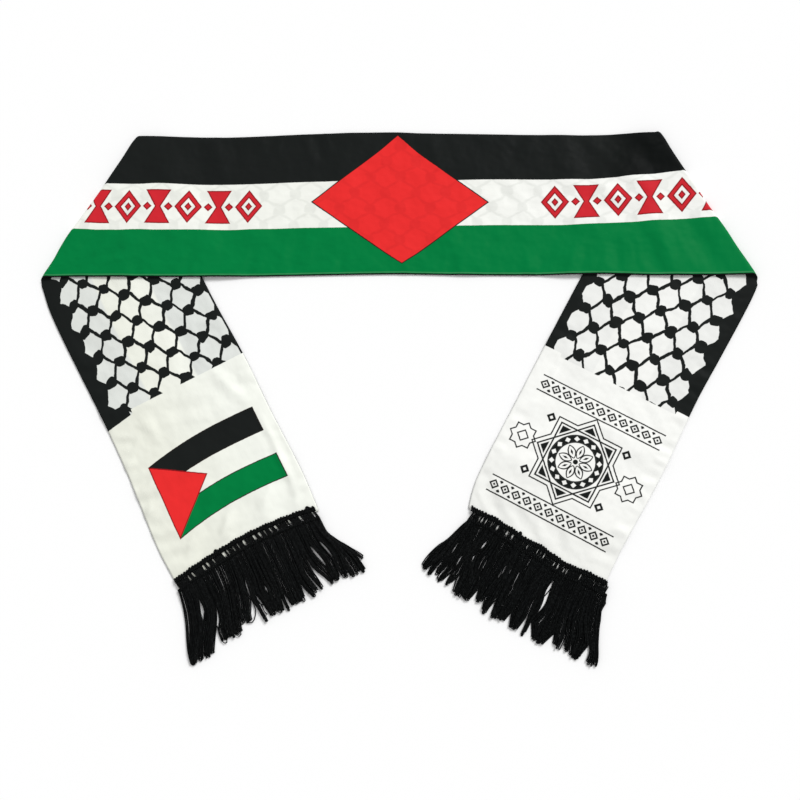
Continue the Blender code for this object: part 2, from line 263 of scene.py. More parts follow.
RIGHT_FOLD = FoldSizes(
    side=Side.RIGHT,
    black_edge=0.2468,
    green_edge=0.3318,
    edge_places=(0.000, 0.015, 0.040, 0.090, 0.130, 0.210, 0.275, 0.295, 0.320),
    green_strays=(0.0000, -0.0022, -0.0024, -0.0008, 0.0006, -0.0006, 0.0018, 0.0016, 0.0010),
    black_strays=(0.0000, 0.0001, 0.0002, 0.0005, 0.0005, 0.0000, -0.0009, -0.0036, -0.0110),
    header_across=(0.000, 0.035, 0.070, 0.107, 0.140),
    header_places=(0.3052, 0.3085, 0.3058, 0.3028, 0.3050),
    bulge_across=(0.000, 0.016, 0.027, 0.044, 0.067, 0.083, 0.101, 0.113, 0.125, 0.131, 0.140),
    bulges=(0.0001, 0.0003, 0.0003, 0.0011, 0.0007, 0.0012, 0.0018, 0.0021, 0.0026, 0.0031, 0.0036),
    slips=(0.0, 0.0, 0.0, 0.0, 0.0, 0.0, 0.0, -0.0004, -0.0016, -0.0026, -0.0045),
    corner_tuck=0.0075,
)


class Fold:
    """A fold's frame in the plan: its line, and the directions of the tail that leaves it."""

    header_width = 0.0125
    header_overhang = 0.0030
    bulge_run = 0.030
    corner_run = 0.014

    def __init__(self, sizes: FoldSizes) -> None:
        """Work out the frame from where the fold line meets the two edges of the middle.

        Args:
            sizes: the fold's sizes.
        """
        hand = sizes.side.value
        self.sizes, self.hand = sizes, hand
        self.green = np.array([hand * sizes.green_edge, -WIDTH / 2])
        self.black = np.array([hand * sizes.black_edge, WIDTH / 2])
        line = self.black - self.green
        self.line = line / np.linalg.norm(line)
        inward = np.array([-hand, 0.0])
        normal = inward - inward @ self.line * self.line
        self.normal = normal / np.linalg.norm(normal)
        self.slant = inward @ self.line / (inward @ self.normal)
        self.along = inward @ self.normal * self.normal - inward @ self.line * self.line
        upward = np.array([0.0, 1.0])
        self.across = 2 * (upward @ self.line) * self.line - upward

    def crossing(self, across: np.ndarray) -> np.ndarray:
        """The points of the fold line at distances from the green edge."""
        return self.green + (self.black - self.green) * across[..., None] / WIDTH

    def depth(self, x: np.ndarray, y: np.ndarray) -> np.ndarray:
        """How far points of the middle lie inside the fold line."""
        return (x - self.green[0]) * self.normal[0] + (y - self.green[1]) * self.normal[1]

    def aside(self, x: np.ndarray, y: np.ndarray) -> np.ndarray:
        """How far points lie across the tail, from its green edge."""
        return (x - self.green[0]) * self.across[0] + (y - self.green[1]) * self.across[1]

    def tail_place(self, depth: float, across: np.ndarray) -> np.ndarray:
        """The place along the tail at a depth inside the fold line."""
        return (self.crossing(across) - self.green) @ self.along + depth / (self.along @ self.normal)

    def plan(self, place: np.ndarray, across: np.ndarray) -> np.ndarray:
        """A point at a place along and across the tail, without the edges' strays."""
        return self.green + place[..., None] * self.along + across[..., None] * self.across

    def tail_plan(self, place: np.ndarray, across: np.ndarray) -> np.ndarray:
        """A point of the tail's cloth, with the edges' strays.

        Args:
            place: places along the tail.
            across: places across it.

        Returns:
            X and Y of each point.
        """
        s = self.sizes
        green = smooth_table(s.edge_places, s.green_strays, place)
        black = smooth_table(s.edge_places, s.black_strays, place)
        return self.plan(place, across + green + (black - green) * across / WIDTH)

    def bulge(self, across: np.ndarray, beyond: np.ndarray) -> np.ndarray:
        """How far the cloth stands out past the straight fold and slips along it.

        Args:
            across: places across the cloth.
            beyond: how far each lies beyond the turn, where the bulge fades.

        Returns:
            The shift in X and Y of each point.
        """
        fade = (1.0 - smooth_step(beyond / self.bulge_run))[..., None]
        out = smooth_table(self.sizes.bulge_across, self.sizes.bulges, across)
        slip = smooth_table(self.sizes.bulge_across, self.sizes.slips, across)
        return (slip[..., None] * self.line - out[..., None] * self.normal) * fade

    def header_place(self, across: np.ndarray) -> np.ndarray:
        """The place along the tail of the fringe header's upper line."""
        return smooth_table(self.sizes.header_across, self.sizes.header_places, across)

    def end_place(self, across: np.ndarray) -> np.ndarray:
        """The place along the tail of the cloth's end, hidden below the header."""
        tuck = self.sizes.corner_tuck * smooth_step((across - WIDTH + self.corner_run) / self.corner_run)
        return self.header_place(across) + self.header_width - self.header_overhang - tuck


# Creases of the middle, by place along X and across Y from its centre, in millimetres: main ones, then fine ones
MIDDLE_CREASES = creases(
    CreaseKind.MAIN,
    (-262, -85, -205, 60, 1.8, 20), (-140, -80, -118, 20, 1.2, 22), (-40, 85, -52, -20, 1, 20), (72, -85, 52, 0, 1, 22),
    (150, 85, 178, -30, 1.4, 22), (262, -85, 214, 55, 2, 20),
)
MIDDLE_FINE = creases(
    CreaseKind.FINE,
    (-270, -50, -248, -45, -0.9, 5), (-300, -72, -272, -12, -1, 9), (-262, 78, -266, 34, 0.7, 9),
    (-236, -76, -240, -50, -0.8, 6), (-232, 78, -240, 30, -0.8, 9), (-197, -78, -184, -48, -1.2, 5),
    (-172, 78, -160, 20, 0.9, 11), (-137, -78, -124, -42, -0.9, 6), (-112, 76, -118, 50, -0.7, 6),
    (-94, -78, -83, -26, -1, 8), (-79, 78, -64, 42, -1.1, 7), (-50, -78, -43, -48, -0.8, 5), (8, -78, 20, -48, 0.7, 7),
    (30, 78, 46, 28, 0.8, 10), (52, -78, 58, -50, -0.8, 6), (100, 20, 118, -22, -0.6, 8), (120, -78, 130, -50, 0.8, 7),
    (122, 78, 110, 38, -0.8, 8), (170, -78, 178, -40, -0.9, 7), (203, -78, 206, -34, -1, 8),
    (198, 82, 250, 26, -1.3, 17), (182, 20, 230, -6, 0.8, 10), (246, -76, 232, -30, -0.8, 8),
    (300, -74, 268, -10, -1.2, 12),
)

# Creases of the tails, by place along and across the tail, in millimetres: main ones, then fine ones
TAIL_CREASES = {
    Side.LEFT: creases(
        CreaseKind.MAIN,
        (150, -10, 162, 70, 1.4, 17), (205, 150, 186, 60, 1.2, 18), (232, -12, 222, 85, 1.8, 17),
        (268, 155, 262, 50, 1.4, 16),
    ),
    Side.RIGHT: creases(
        CreaseKind.MAIN,
        (140, 150, 150, 60, 1.2, 18), (192, -12, 184, 90, 1.6, 18), (258, 155, 246, 60, 1.4, 17),
        (272, -10, 266, 60, 1.2, 16),
    ),
}
TAIL_FINE = {
    Side.LEFT: creases(
        CreaseKind.FINE,
        (103, -4, 108, 16, -0.9, 5), (133, -4, 127, 14, 0.8, 5), (156, -4, 157, 10, -0.8, 4.5),
        (179, -4, 187, 18, -1.1, 4.5), (204, -4, 203, 12, 1, 5), (227, -4, 221, 20, -1.3, 4.5),
        (239, -4, 240, 18, -1.4, 4.5), (251, -4, 249, 14, 1.1, 5), (261, -4, 263, 12, -1.2, 4.5),
        (280, -4, 281, 22, -1.4, 5.5), (298, 0, 296, 24, -0.9, 5), (309, 24, 284, 50, -1.3, 7),
        (310, 60, 276, 90, -1.6, 8), (308, 48, 284, 70, 1.1, 6), (309, 104, 276, 126, -1.6, 8.5),
        (308, 88, 282, 104, 1, 6), (280, 40, 262, 52, -0.6, 6), (186, 144, 183, 116, -1, 5.5),
        (210, 131, 302, 127, 0.8, 4.5), (158, 106, 206, 126, 0.9, 7), (166, 30, 200, 40, 0.8, 6),
        (176, 60, 190, 98, -0.7, 7), (120, 144, 112, 110, 0.9, 7), (150, 144, 146, 118, -0.9, 5.5),
        (60, 10, 132, 34, -0.9, 10), (95, 100, 160, 90, -0.8, 9), (233, 145, 236, 130, -0.9, 4.5),
        (262, 145, 257, 129, -0.9, 4.5), (290, 145, 293, 130, 0.8, 4.5),
    ),
    Side.RIGHT: creases(
        CreaseKind.FINE,
        (150, 122.5, 188, 120, 0.8, 3), (100, -4, 103, 14, -0.9, 5), (126, -4, 123, 14, -0.9, 4.5),
        (152, -4, 150, 12, 0.8, 4.5), (180, -4, 179, 14, -1.1, 4.5), (193, -4, 194, 12, 0.9, 4),
        (207, -4, 210, 17, -1.1, 5), (236, -4, 232, 15, -1, 5), (262, -4, 265, 18, 0.9, 5.5),
        (285, -4, 288, 24, -1.1, 5.5), (304, 80, 286, 100, -1.2, 6), (305, 44, 284, 60, -1, 6.5),
        (302, 110, 280, 132, -1.3, 6.5), (306, 62, 288, 78, 1, 5.5), (204, 18, 240, 50, -0.7, 12),
        (198, 96, 226, 132, -0.7, 12), (166, 70, 206, 62, -0.6, 8), (160, 40, 184, 26, 0.6, 8),
        (215, 145, 212, 124, -0.9, 5), (246, 145, 250, 126, 0.8, 5), (274, 145, 276, 126, -0.8, 5),
        (70, 20, 120, 34, 0.8, 9), (108, 60, 146, 78, -0.8, 8), (128, 145, 124, 118, -0.9, 5.5),
    ),
}
# Creases of the hidden undersides: of the tails, then of the middle
UNDER_CREASES = creases(
    CreaseKind.MAIN,
    (128, -4, 140, 30, 0.6, 7), (176, 144, 168, 100, 0.7, 8), (222, -4, 214, 46, 0.7, 8), (246, 60, 280, 78, 0.6, 7),
    (270, 144, 262, 108, 0.7, 7), (90, 50, 120, 96, 0.6, 9), (296, 10, 288, 40, 0.6, 6),
)
MIDDLE_UNDER = creases(
    CreaseKind.MAIN,
    (-150, -74, -138, -30, 0.6, 8), (-90, 74, -100, 20, 0.7, 9), (-20, -74, -30, -36, 0.6, 7), (50, 74, 58, 30, 0.6, 8),
    (104, -74, 96, -26, 0.7, 8), (140, 10, 104, 24, 0.5, 7),
)


@dataclass
class ScarfForm:
    """Where both plies lie, in metres: the middle, the turns round the folds, and the tails."""

    folds: tuple[Fold, Fold]
    # The turns and how they lift the middle beside them
    fold_tuck: float = 0.0020
    fold_puff: float = 0.0015
    puff_reach: float = 0.034
    shoulder: float = 0.008
    shoulder_run: float = 0.032
    # Where the main creases fade
    ridge_fade: float = 0.022
    ridge_start: float = 0.3
    flat_below_middle: float = 0.012
    flat_at_header: float = 0.014
    # How the plies come together at their seams
    seam_run: float = 0.0065
    seam_share: float = 0.38
    seam_lift: float = 0.35
    sink: float = 0.18
    # The deepest trough, and how strongly and where the fine creases show
    deepest: float = 0.00115
    middle_rise: float = 1.35
    left_rise: float = 1.7
    right_rise: float = 1.35
    fine_fade: float = 3.0
    fine_end: float = 0.006
    # How far the middle's two edges stray, by place along it
    middle_places: tuple = (-0.331, -0.225, -0.160, -0.070, 0.000, 0.030, 0.060, 0.140, 0.195, 0.240, 0.331)
    middle_black: tuple = (0.0, 0.0, -0.0018, 0.0010, 0.0018, 0.0003, -0.0004, -0.0026, -0.0032, -0.0007, 0.0)
    middle_green: tuple = (0.0, -0.0008, -0.0006, 0.0010, 0.0020, 0.0016, 0.0010, 0.0005, 0.0010, -0.0004, 0.0)
    # The stripes drift towards the black edge, by place along the middle
    drift_places: tuple = (
        -0.288, -0.240, -0.182, -0.120, -0.085, -0.040, 0.030, 0.090, 0.180, 0.216, 0.245, 0.274, 0.300,
    )
    drifts: tuple = (
        -0.0024, -0.0026, -0.0020, -0.0021, -0.0019, -0.0022, -0.0016, 0.0006, 0.0012, 0.0024, 0.0039, 0.0055, 0.0059,
    )
    drift_rise: float = 0.022
    net_drift: float = 0.0025

    @property
    def outer_radius(self) -> float:
        """Radius of the striped ply's turn round a fold."""
        return (3 * LAYER + self.fold_puff) / 2

    @property
    def axis_depth(self) -> float:
        """How far inside the fold line the turn's axis lies."""
        return math.pi * self.outer_radius / 2 + self.fold_tuck

    def fullness(self, across: np.ndarray) -> np.ndarray:
        """How far the two plies have parted: 0 at the sewn edges, 1 away from them."""
        edge = np.clip(np.minimum(across, WIDTH - across) / self.seam_run, 0.0, 1.0)
        return 1.0 - (1.0 - edge) ** 2

    def levels(self, ply: Ply, across: np.ndarray, low: np.ndarray) -> np.ndarray:
        """A ply's level between the two, where the middle's lower ply is 0 and its upper one 1.

        Args:
            ply: which ply.
            across: places across the cloth.
            low: how much of the sink the ply takes there, 0 to 1.

        Returns:
            The level at each place.
        """
        full = self.fullness(across)
        parted = self.seam_share + (1.0 - self.seam_share) * full
        if ply is Ply.STRIPED:
            return 0.5 + 0.5 * parted + self.sink * full * low
        return 0.5 - 0.5 * parted - self.sink * full * low

    def seam_weighted(self, lift: np.ndarray, across: np.ndarray, upper: bool) -> np.ndarray:
        """A crease's lift on one ply: ridges lift the sewn edge too, troughs leave it down.

        Args:
            lift: the crease's lift.
            across: places across the cloth.
            upper: whether the ply is the upper one, which takes the whole crease.

        Returns:
            The ply's lift at each place.
        """
        full = self.fullness(across)
        ridge, trough = np.maximum(lift, 0.0), self.deepest * np.tanh(np.minimum(lift, 0.0) / self.deepest)
        if upper:
            return ridge * (self.seam_lift + (1.0 - self.seam_lift) * full) + trough * full
        return ridge * self.seam_lift * (1.0 - full)

    def middle_shift(self, x: np.ndarray, across: np.ndarray) -> np.ndarray:
        """How far the middle's cloth strays from straight.

        Args:
            x: places along the middle.
            across: places across it.

        Returns:
            The shift in Y at each place.
        """
        green = smooth_table(self.middle_places, self.middle_green, x)
        black = smooth_table(self.middle_places, self.middle_black, x)
        return green + (black - green) * across / WIDTH

    def drift(self, x: np.ndarray, across: np.ndarray) -> np.ndarray:
        """How far the stripes drift on the cloth, none at the sewn edges."""
        edge = np.minimum(across, WIDTH - across) / self.drift_rise
        return smooth_table(self.drift_places, self.drifts, x) * smooth_step(edge)

    def middle_base(self, x: np.ndarray, y: np.ndarray) -> np.ndarray:
        """Height of the middle's underside: up on the tails, down on the surface between them.

        Args:
            x: places along the middle.
            y: places across it, from its centre.

        Returns:
            The height at each place, with the main creases.
        """
        base, puff = np.zeros(x.shape), np.zeros(x.shape)
        for fold in self.folds:
            beyond = fold.aside(x, y) - WIDTH - self.shoulder
            base = np.maximum(base, 2 * LAYER * (1.0 - smooth_step(beyond / self.shoulder_run)))
            inside = fold.depth(x, y) / self.puff_reach
            puff = np.maximum(puff, self.fold_puff * (1.0 - smooth_step(inside)))
        return base + puff + lift_of(MIDDLE_CREASES, x, y) * self.middle_calm(x, y)

    def middle_calm(self, x: np.ndarray, y: np.ndarray) -> np.ndarray:
        """0 at the folds, 1 away from them."""
        depth = np.minimum(*(fold.depth(x, y) for fold in self.folds))
        return smooth_step(depth / self.ridge_fade - self.ridge_start)

    def turn(self, fold: Fold, ply: Ply, share: np.ndarray, across: np.ndarray) -> tuple:
        """The turn round a fold.

        Args:
            fold: the fold.
            ply: which ply.
            share: how far round, 0 on top and 1 below.
            across: places across the cloth.

        Returns:
            X, Y, Z, and the place along and across the flat cloth, each an array.
        """
        low = 1.0 - share if ply is Ply.NET else share
        radius = self.outer_radius - LAYER * (1.0 - self.levels(ply, across, low))
        depth = self.axis_depth - radius * np.sin(math.pi * share)
        slide = fold.slant * self.axis_depth * (1.0 - 2.0 * share)
        crossing = fold.crossing(across)
        plan = crossing + depth[..., None] * fold.normal + slide[..., None] * fold.line
        plan = plan + fold.bulge(across, np.zeros(across.shape))
        z = WALL / 2 + self.outer_radius + radius * np.cos(math.pi * share)
        step = self.axis_depth / (fold.along @ fold.normal)
        flat = fold.hand * (np.abs(crossing[..., 0]) + step * (2.0 * share - 1.0))
        return plan[..., 0], plan[..., 1], z, flat, across

    def middle(self, ply: Ply, share: np.ndarray, across: np.ndarray) -> tuple:
        """The middle, from the left turn to the right one.

        Args:
            ply: which ply.
            share: how far along, 0 to 1.
            across: places across the cloth.

        Returns:
            Arrays like those of turn().
        """
        ends = []
        for fold in self.folds:
            inner = self.axis_depth * (fold.normal + fold.slant * fold.line)
            ends.append(fold.crossing(across) + inner)
        plan = ends[0] + (ends[1] - ends[0]) * share[..., None]
        flat = plan[..., 0]
        for fold in self.folds:
            plan = plan + fold.bulge(across, fold.depth(plan[..., 0], plan[..., 1]) - self.axis_depth)
        x = plan[..., 0]
        y = plan[..., 1] + self.middle_shift(x, across)
        low = np.ones(x.shape) if ply is Ply.NET else np.zeros(x.shape)
        z = self.middle_base(x, y) + WALL / 2 + self.levels(ply, across, low) * LAYER
        small = lift_of(MIDDLE_FINE, x, y) * self.middle_rise * self.middle_calm(x, y)
        z = z + self.seam_weighted(small, across, ply is Ply.STRIPED)
        if ply is Ply.NET:
            between = 1.0 - smooth_step(self.middle_base(x, y) / LAYER)
            z = z + lift_of(MIDDLE_UNDER, x, y) * self.fullness(across) * between
        return x, y, z, flat, across

    def tail(self, fold: Fold, ply: Ply, share: np.ndarray, across: np.ndarray) -> tuple:
        """A tail, from its turn to its end.

        Args:
            fold: the fold that it leaves.
            ply: which ply.
            share: how far along, 0 to 1.
            across: places across the cloth.

        Returns:
            Arrays like those of turn().
        """
        start = fold.tail_place(self.axis_depth, across)
        place = start + (fold.end_place(across) - start) * share
        plan = fold.tail_plan(place, across) + fold.bulge(across, place - start)
        low = np.ones(place.shape) if ply is Ply.STRIPED else np.zeros(place.shape)
        z = WALL / 2 + (1.0 - self.levels(ply, across, low)) * LAYER
        below = smooth_step((-WIDTH / 2 - self.flat_below_middle - plan[..., 1]) / self.ridge_fade)
        ahead = fold.header_place(across) - place
        calm = below * smooth_step((ahead - self.flat_at_header) / self.ridge_fade)
        side = fold.sizes.side
        main = lift_of(TAIL_CREASES[side], place, across) * calm
        rise = self.left_rise if side is Side.LEFT else self.right_rise
        small = lift_of(TAIL_FINE[side], place, across) * rise * smooth_step(below * self.fine_fade)
        small = small * smooth_step(ahead / self.fine_end)
        if ply is Ply.NET:
            z = z + main + self.seam_weighted(small, across, True)
        else:
            z = z + self.seam_weighted(main + small, across, False)
            z = z + lift_of(UNDER_CREASES, place, across) * self.fullness(across) * below
        flat = fold.hand * (fold.sizes.green_edge + place)
        return plan[..., 0], plan[..., 1], z, flat, across


@dataclass
class ClothPly:
    """One ply as a thin shell from end to end, with its flat place kept as the map 'strip'."""

    name: str
    ply: Ply
    form: ScarfForm
    material: bpy.types.Material
    thickness: float = 0.0005
    tail_columns: int = 136
    turn_columns: int = 12
    middle_columns: int = 238
    rows: int = 58
    edge_bias: float = 0.45

    def across(self) -> np.ndarray:
        """Place the rows across the cloth, closer together near the sewn edges.

        Returns:
            The rows' places.
        """
        even = np.linspace(0.0, 1.0, self.rows + 1)
        eased = 0.5 - 0.5 * np.cos(math.pi * even)
        return WIDTH * (even + (eased - even) * self.edge_bias)

    def sections(self) -> tuple:
        """Lay the whole ply from the left end to the right one.

        Returns:
            Arrays of X, Y, Z, and the place along and across the flat cloth.
        """
        left, right = self.form.folds
        tail = np.linspace(0.0, 1.0, self.tail_columns + 1)[1:]
        turn = np.linspace(0.0, 1.0, self.turn_columns + 1)
        middle = np.linspace(0.0, 1.0, self.middle_columns + 1)[1:-1]
        across = self.across()
        parts = []
        for maker, shares in (
            (lambda s, t: self.form.tail(left, self.ply, s, t), tail[::-1]),
            (lambda s, t: self.form.turn(left, self.ply, s, t), turn[::-1]),
            (lambda s, t: self.form.middle(self.ply, s, t), middle),
            (lambda s, t: self.form.turn(right, self.ply, s, t), turn),
            (lambda s, t: self.form.tail(right, self.ply, s, t), tail),
        ):
            share, row = np.meshgrid(shares, across, indexing="ij")
            parts.append([np.asarray(a) for a in maker(share, row)])
        return tuple(np.concatenate(columns) for columns in zip(*parts))

    def printed_place(self, flat: np.ndarray, across: np.ndarray) -> np.ndarray:
        """Where the print lies across the cloth, which drifts a little along it.

        Args:
            flat: places along the flat cloth.
            across: places across it.

        Returns:
            The print's own places across.
        """
        if self.ply is Ply.STRIPED:
            return across - self.form.drift(flat, across)
        return across + self.form.net_drift * smooth_step(flat / 0.4 + 0.5)

    def build(self) -> bpy.types.Object:
        """Make the ply's object.

        Returns:
            The object, with its print's map, wall and finish.
        """
        x, y, z, flat, across = self.sections()
        columns = x.shape[0] - 1
        bm = bmesh.new()
        bmesh.ops.create_grid(bm, x_segments=columns, y_segments=self.rows, size=0.5)
        mesh = finished_mesh(self.name, bm, self.material)
        unit = np.empty(len(mesh.vertices) * 3, np.float32)
        mesh.vertices.foreach_get("co", unit)
        grid = np.rint((unit.reshape(-1, 3)[:, :2] + 0.5) * (columns, self.rows)).astype(int)
        i, j = grid[:, 0], grid[:, 1]
        points = np.stack([x[i, j] + MIDDLE[0], y[i, j] + MIDDLE[1], z[i, j]], axis=1)
        mesh.vertices.foreach_set("co", points.astype(np.float32).ravel())
        strip = np.stack([flat[i, j], self.printed_place(flat, across)[i, j]], axis=1)
        corners = np.empty(len(mesh.loops), np.int32)
        mesh.loops.foreach_get("vertex_index", corners)
        layer = mesh.uv_layers.new(name="strip")
        layer.data.foreach_set("uv", strip[corners].astype(np.float32).ravel())
        mesh.update()
        ply = add_object(self.name, mesh)
        wall = ply.modifiers.new("Wall", "SOLIDIFY")
        wall.thickness = self.thickness
        wall.offset = 0.0
        return ply


class Wire:
    """One value in a node tree, with arithmetic that adds Math nodes."""

    def __init__(self, tree: bpy.types.NodeTree, socket: bpy.types.NodeSocket) -> None:
        """Keep the tree and the socket that gives the value."""
        self.tree, self.socket = tree, socket

    @staticmethod
    def math(tree: bpy.types.NodeTree, operation: str, *values: "Wire | float", clamp: bool = False) -> "Wire":
        """Add a Math node.

        Args:
            tree: the tree that it goes in.
            operation: Blender's name of the operation.
            values: the operation's inputs, wires or plain numbers.
            clamp: keep the result from 0 to 1.

        Returns:
            The node's result.
        """
        node = tree.nodes.new("ShaderNodeMath")
        node.operation, node.use_clamp = operation, clamp
        for slot, value in zip(node.inputs, values):
            if isinstance(value, Wire):
                tree.links.new(value.socket, slot)
            else:
                slot.default_value = value
        return Wire(tree, node.outputs[0])

    def do(self, operation: str, *others: "Wire | float", clamp: bool = False) -> "Wire":
        """This value first in a Math node."""
        return Wire.math(self.tree, operation, self, *others, clamp=clamp)

    def __add__(self, other: "Wire | float") -> "Wire":
        """Sum."""
        return self.do("ADD", other)

    def __sub__(self, other: "Wire | float") -> "Wire":
        """Difference."""
        return self.do("SUBTRACT", other)

    def __rsub__(self, other: float) -> "Wire":
        """A number less this value."""
        return Wire.math(self.tree, "SUBTRACT", other, self)

    def __mul__(self, other: "Wire | float") -> "Wire":
        """Product."""
        return self.do("MULTIPLY", other)

    def __truediv__(self, other: "Wire | float") -> "Wire":
        """Quotient."""
        return self.do("DIVIDE", other)

    def __abs__(self) -> "Wire":
        """Size without its sign."""
        return self.do("ABSOLUTE")

    def least(self, other: "Wire | float") -> "Wire":
        """The smaller of two."""
        return self.do("MINIMUM", other)

    def most(self, other: "Wire | float") -> "Wire":
        """The larger of two."""
        return self.do("MAXIMUM", other)

    def swing(self, half: float) -> "Wire":
        """Distance from the nearest multiple of twice the half period."""
        return self.do("PINGPONG", half)

    def ramp(self, start: float, run: float) -> "Wire":
        """0 up to the start and 1 from a run beyond it; a negative run turns it round."""
        return (self - start).do("DIVIDE", run, clamp=True)

    def inside(self, soft: float = 0.18) -> "Wire":
        """1 where this distance is negative and 0 where it is positive, over a soft edge."""
        return (self * (-0.5 / soft)).do("ADD", 0.5, clamp=True)


def plane_distance(x: Wire, y: Wire, start: tuple, end: tuple) -> Wire:
    """Measure the distance to a line.

    Args:
        x: the first place.
        y: the second place.
        start: a point of the line.
        end: a further point of it.

    Returns:
        The distance, positive on the right-hand side from start to end.
    """
    dx, dy = end[0] - start[0], end[1] - start[1]
    length = math.hypot(dx, dy)
    nx, ny = dy / length, -dx / length
    return x * nx + y * ny - (start[0] * nx + start[1] * ny)


def polygon(x: Wire, y: Wire, corners: tuple) -> Wire:
    """Measure the distance out of a shape with straight sides.

    Args:
        x: the first place.
        y: the second place.
        corners: its corners, anticlockwise.

    Returns:
        The distance, negative inside.
    """
    out = None
    for start, end in zip(corners, corners[1:] + corners[:1]):
        side = plane_distance(x, y, start, end)
        out = side if out is None else out.most(side)
    return out


class Paint:
    """A colour that inks are laid over, one after another."""

    def __init__(self, tree: bpy.types.NodeTree, ground: tuple) -> None:
        """Start from the bare cloth's colour."""
        self.tree, self.colour = tree, None
        self.ground = (*ground, 1.0)

    def lay(self, mask: Wire, ink: tuple) -> None:
        """Lay an ink.

        Args:
            mask: where it lies, 0 to 1.
            ink: its linear colour.
        """
        node = self.tree.nodes.new("ShaderNodeMix")
        node.data_type = "RGBA"
        self.tree.links.new(mask.socket, node.inputs[0])
        if self.colour is None:
            node.inputs[6].default_value = self.ground
        else:
            self.tree.links.new(self.colour, node.inputs[6])
        node.inputs[7].default_value = (*ink, 1.0)
        self.colour = node.outputs[2]


class Group:
    """A shader node group with named sockets."""

    def __init__(self, name: str, inputs: dict, outputs: tuple) -> None:
        """Make the group's tree and its sockets.

        Args:
            name: the group's name.
            inputs: each input's name and its default value, or None for a vector.
            outputs: the names of its outputs, all plain values.
        """
        self.tree = bpy.data.node_groups.new(name, "ShaderNodeTree")
        for label, value in inputs.items():
            kind = "NodeSocketVector" if value is None else "NodeSocketFloat"
            socket = self.tree.interface.new_socket(name=label, in_out="INPUT", socket_type=kind)
            if value is not None:
                socket.default_value = value
        for label in outputs:
            self.tree.interface.new_socket(name=label, in_out="OUTPUT", socket_type="NodeSocketFloat")
        self.entry = self.tree.nodes.new("NodeGroupInput")
        self.exit = self.tree.nodes.new("NodeGroupOutput")

    def read(self, label: str) -> Wire:
        """The group's input of that name."""
        return Wire(self.tree, self.entry.outputs[label])

    def give(self, label: str, value: Wire) -> None:
        """Send a value to the group's output of that name."""
        self.tree.links.new(value.socket, self.exit.inputs[label])

    def place(self, tree: bpy.types.NodeTree, **values: "Wire | bpy.types.NodeSocket | float") -> dict:
        """Place the group in a tree.

        Args:
            tree: the tree that it goes in.
            values: its inputs by name, with _ for a space.

        Returns:
            Its outputs by name.
        """
        node = tree.nodes.new("ShaderNodeGroup")
        node.node_tree = self.tree
        for label, value in values.items():
            slot = node.inputs[label.replace("_", " ").capitalize()]
            if isinstance(value, Wire):
                tree.links.new(value.socket, slot)
            elif isinstance(value, bpy.types.NodeSocket):
                tree.links.new(value, slot)
            else:
                slot.default_value = value
        return {output.name: Wire(tree, output) for output in node.outputs}


def noise_node(tree: bpy.types.NodeTree, vector: bpy.types.NodeSocket, scale: float, detail: float) -> bpy.types.Node:
    """Add a Noise node.

    Args:
        tree: the tree that it goes in.
        vector: the place that it reads.
        scale: its waves in a metre.
        detail: its octaves past the first.

    Returns:
        The node.
    """
    node = tree.nodes.new("ShaderNodeTexNoise")
    node.inputs["Scale"].default_value = scale
    node.inputs["Detail"].default_value = detail
    tree.links.new(vector, node.inputs["Vector"])
    return node


def noise(tree: bpy.types.NodeTree, vector: bpy.types.NodeSocket, scale: float, detail: float = 1.0) -> Wire:
    """Noise about 0, from -0.5 to 0.5."""
    return Wire(tree, noise_node(tree, vector, scale, detail).outputs[0]) - 0.5


def noise_pair(tree: bpy.types.NodeTree, vector: bpy.types.NodeSocket, scale: float) -> tuple[Wire, Wire]:
    """Two independent noises of one scale, about 0.

    Args:
        tree: the tree that they go in.
        vector: the place that they read.
        scale: their waves in a metre.

    Returns:
        The two values.
    """
    parts = tree.nodes.new("ShaderNodeSeparateColor")
    tree.links.new(noise_node(tree, vector, scale, 1.0).outputs["Color"], parts.inputs[0])
    return Wire(tree, parts.outputs[0]) - 0.5, Wire(tree, parts.outputs[1]) - 0.5


def thread_noise(tree: bpy.types.NodeTree, vector: bpy.types.NodeSocket, scale: tuple, detail: float) -> Wire:
    """Noise about 0 that is stretched along the threads.

    Args:
        tree: the tree that it goes in.
        vector: the place that it reads.
        scale: its waves in a metre along, across and in depth.
        detail: its octaves past the first.

    Returns:
        The value.
    """
    node = tree.nodes.new("ShaderNodeMapping")
    node.inputs["Scale"].default_value = scale
    tree.links.new(vector, node.inputs["Vector"])
    return noise(tree, node.outputs[0], 1.0, detail)


def new_material(name: str) -> tuple[bpy.types.Material, bpy.types.NodeTree, bpy.types.Node]:
    """Make a node material.

    Args:
        name: its name.

    Returns:
        The material, its tree and its surface node.
    """
    material = bpy.data.materials.new(name)
    material.use_nodes = True
    return material, material.node_tree, material.node_tree.nodes["Principled BSDF"]


def raise_surface(tree: bpy.types.NodeTree, surface: bpy.types.Node, height: Wire) -> None:
    """Turn a height in metres into the surface's normal.

    Args:
        tree: the material's tree.
        surface: its surface node.
        height: the height.
    """
    bump = tree.nodes.new("ShaderNodeBump")
    bump.inputs["Distance"].default_value = 1.0
    tree.links.new(height.socket, bump.inputs["Height"])
    tree.links.new(bump.outputs[0], surface.inputs["Normal"])


@dataclass(frozen=True)
class WeaveSizes:
    """Satin weave: waves in a metre along, across and in depth, heights in metres, and shares of tone; the crumpling's
    share is painted shade, darker in its hollows.
    """

    crumple_scale: float = 42.0
    crumple_height: float = 0.0026
    crumple_shade: float = 0.07
    pucker_scale: float = 260.0
    pucker_share: float = 0.035
    thread_scale: tuple = (60.0, 1500.0, 1.0)
    thread_height: float = 0.00003
    thread_tone: float = 0.05
    float_scale: tuple = (900.0, 3600.0, 1.0)
    float_height: float = 0.00002


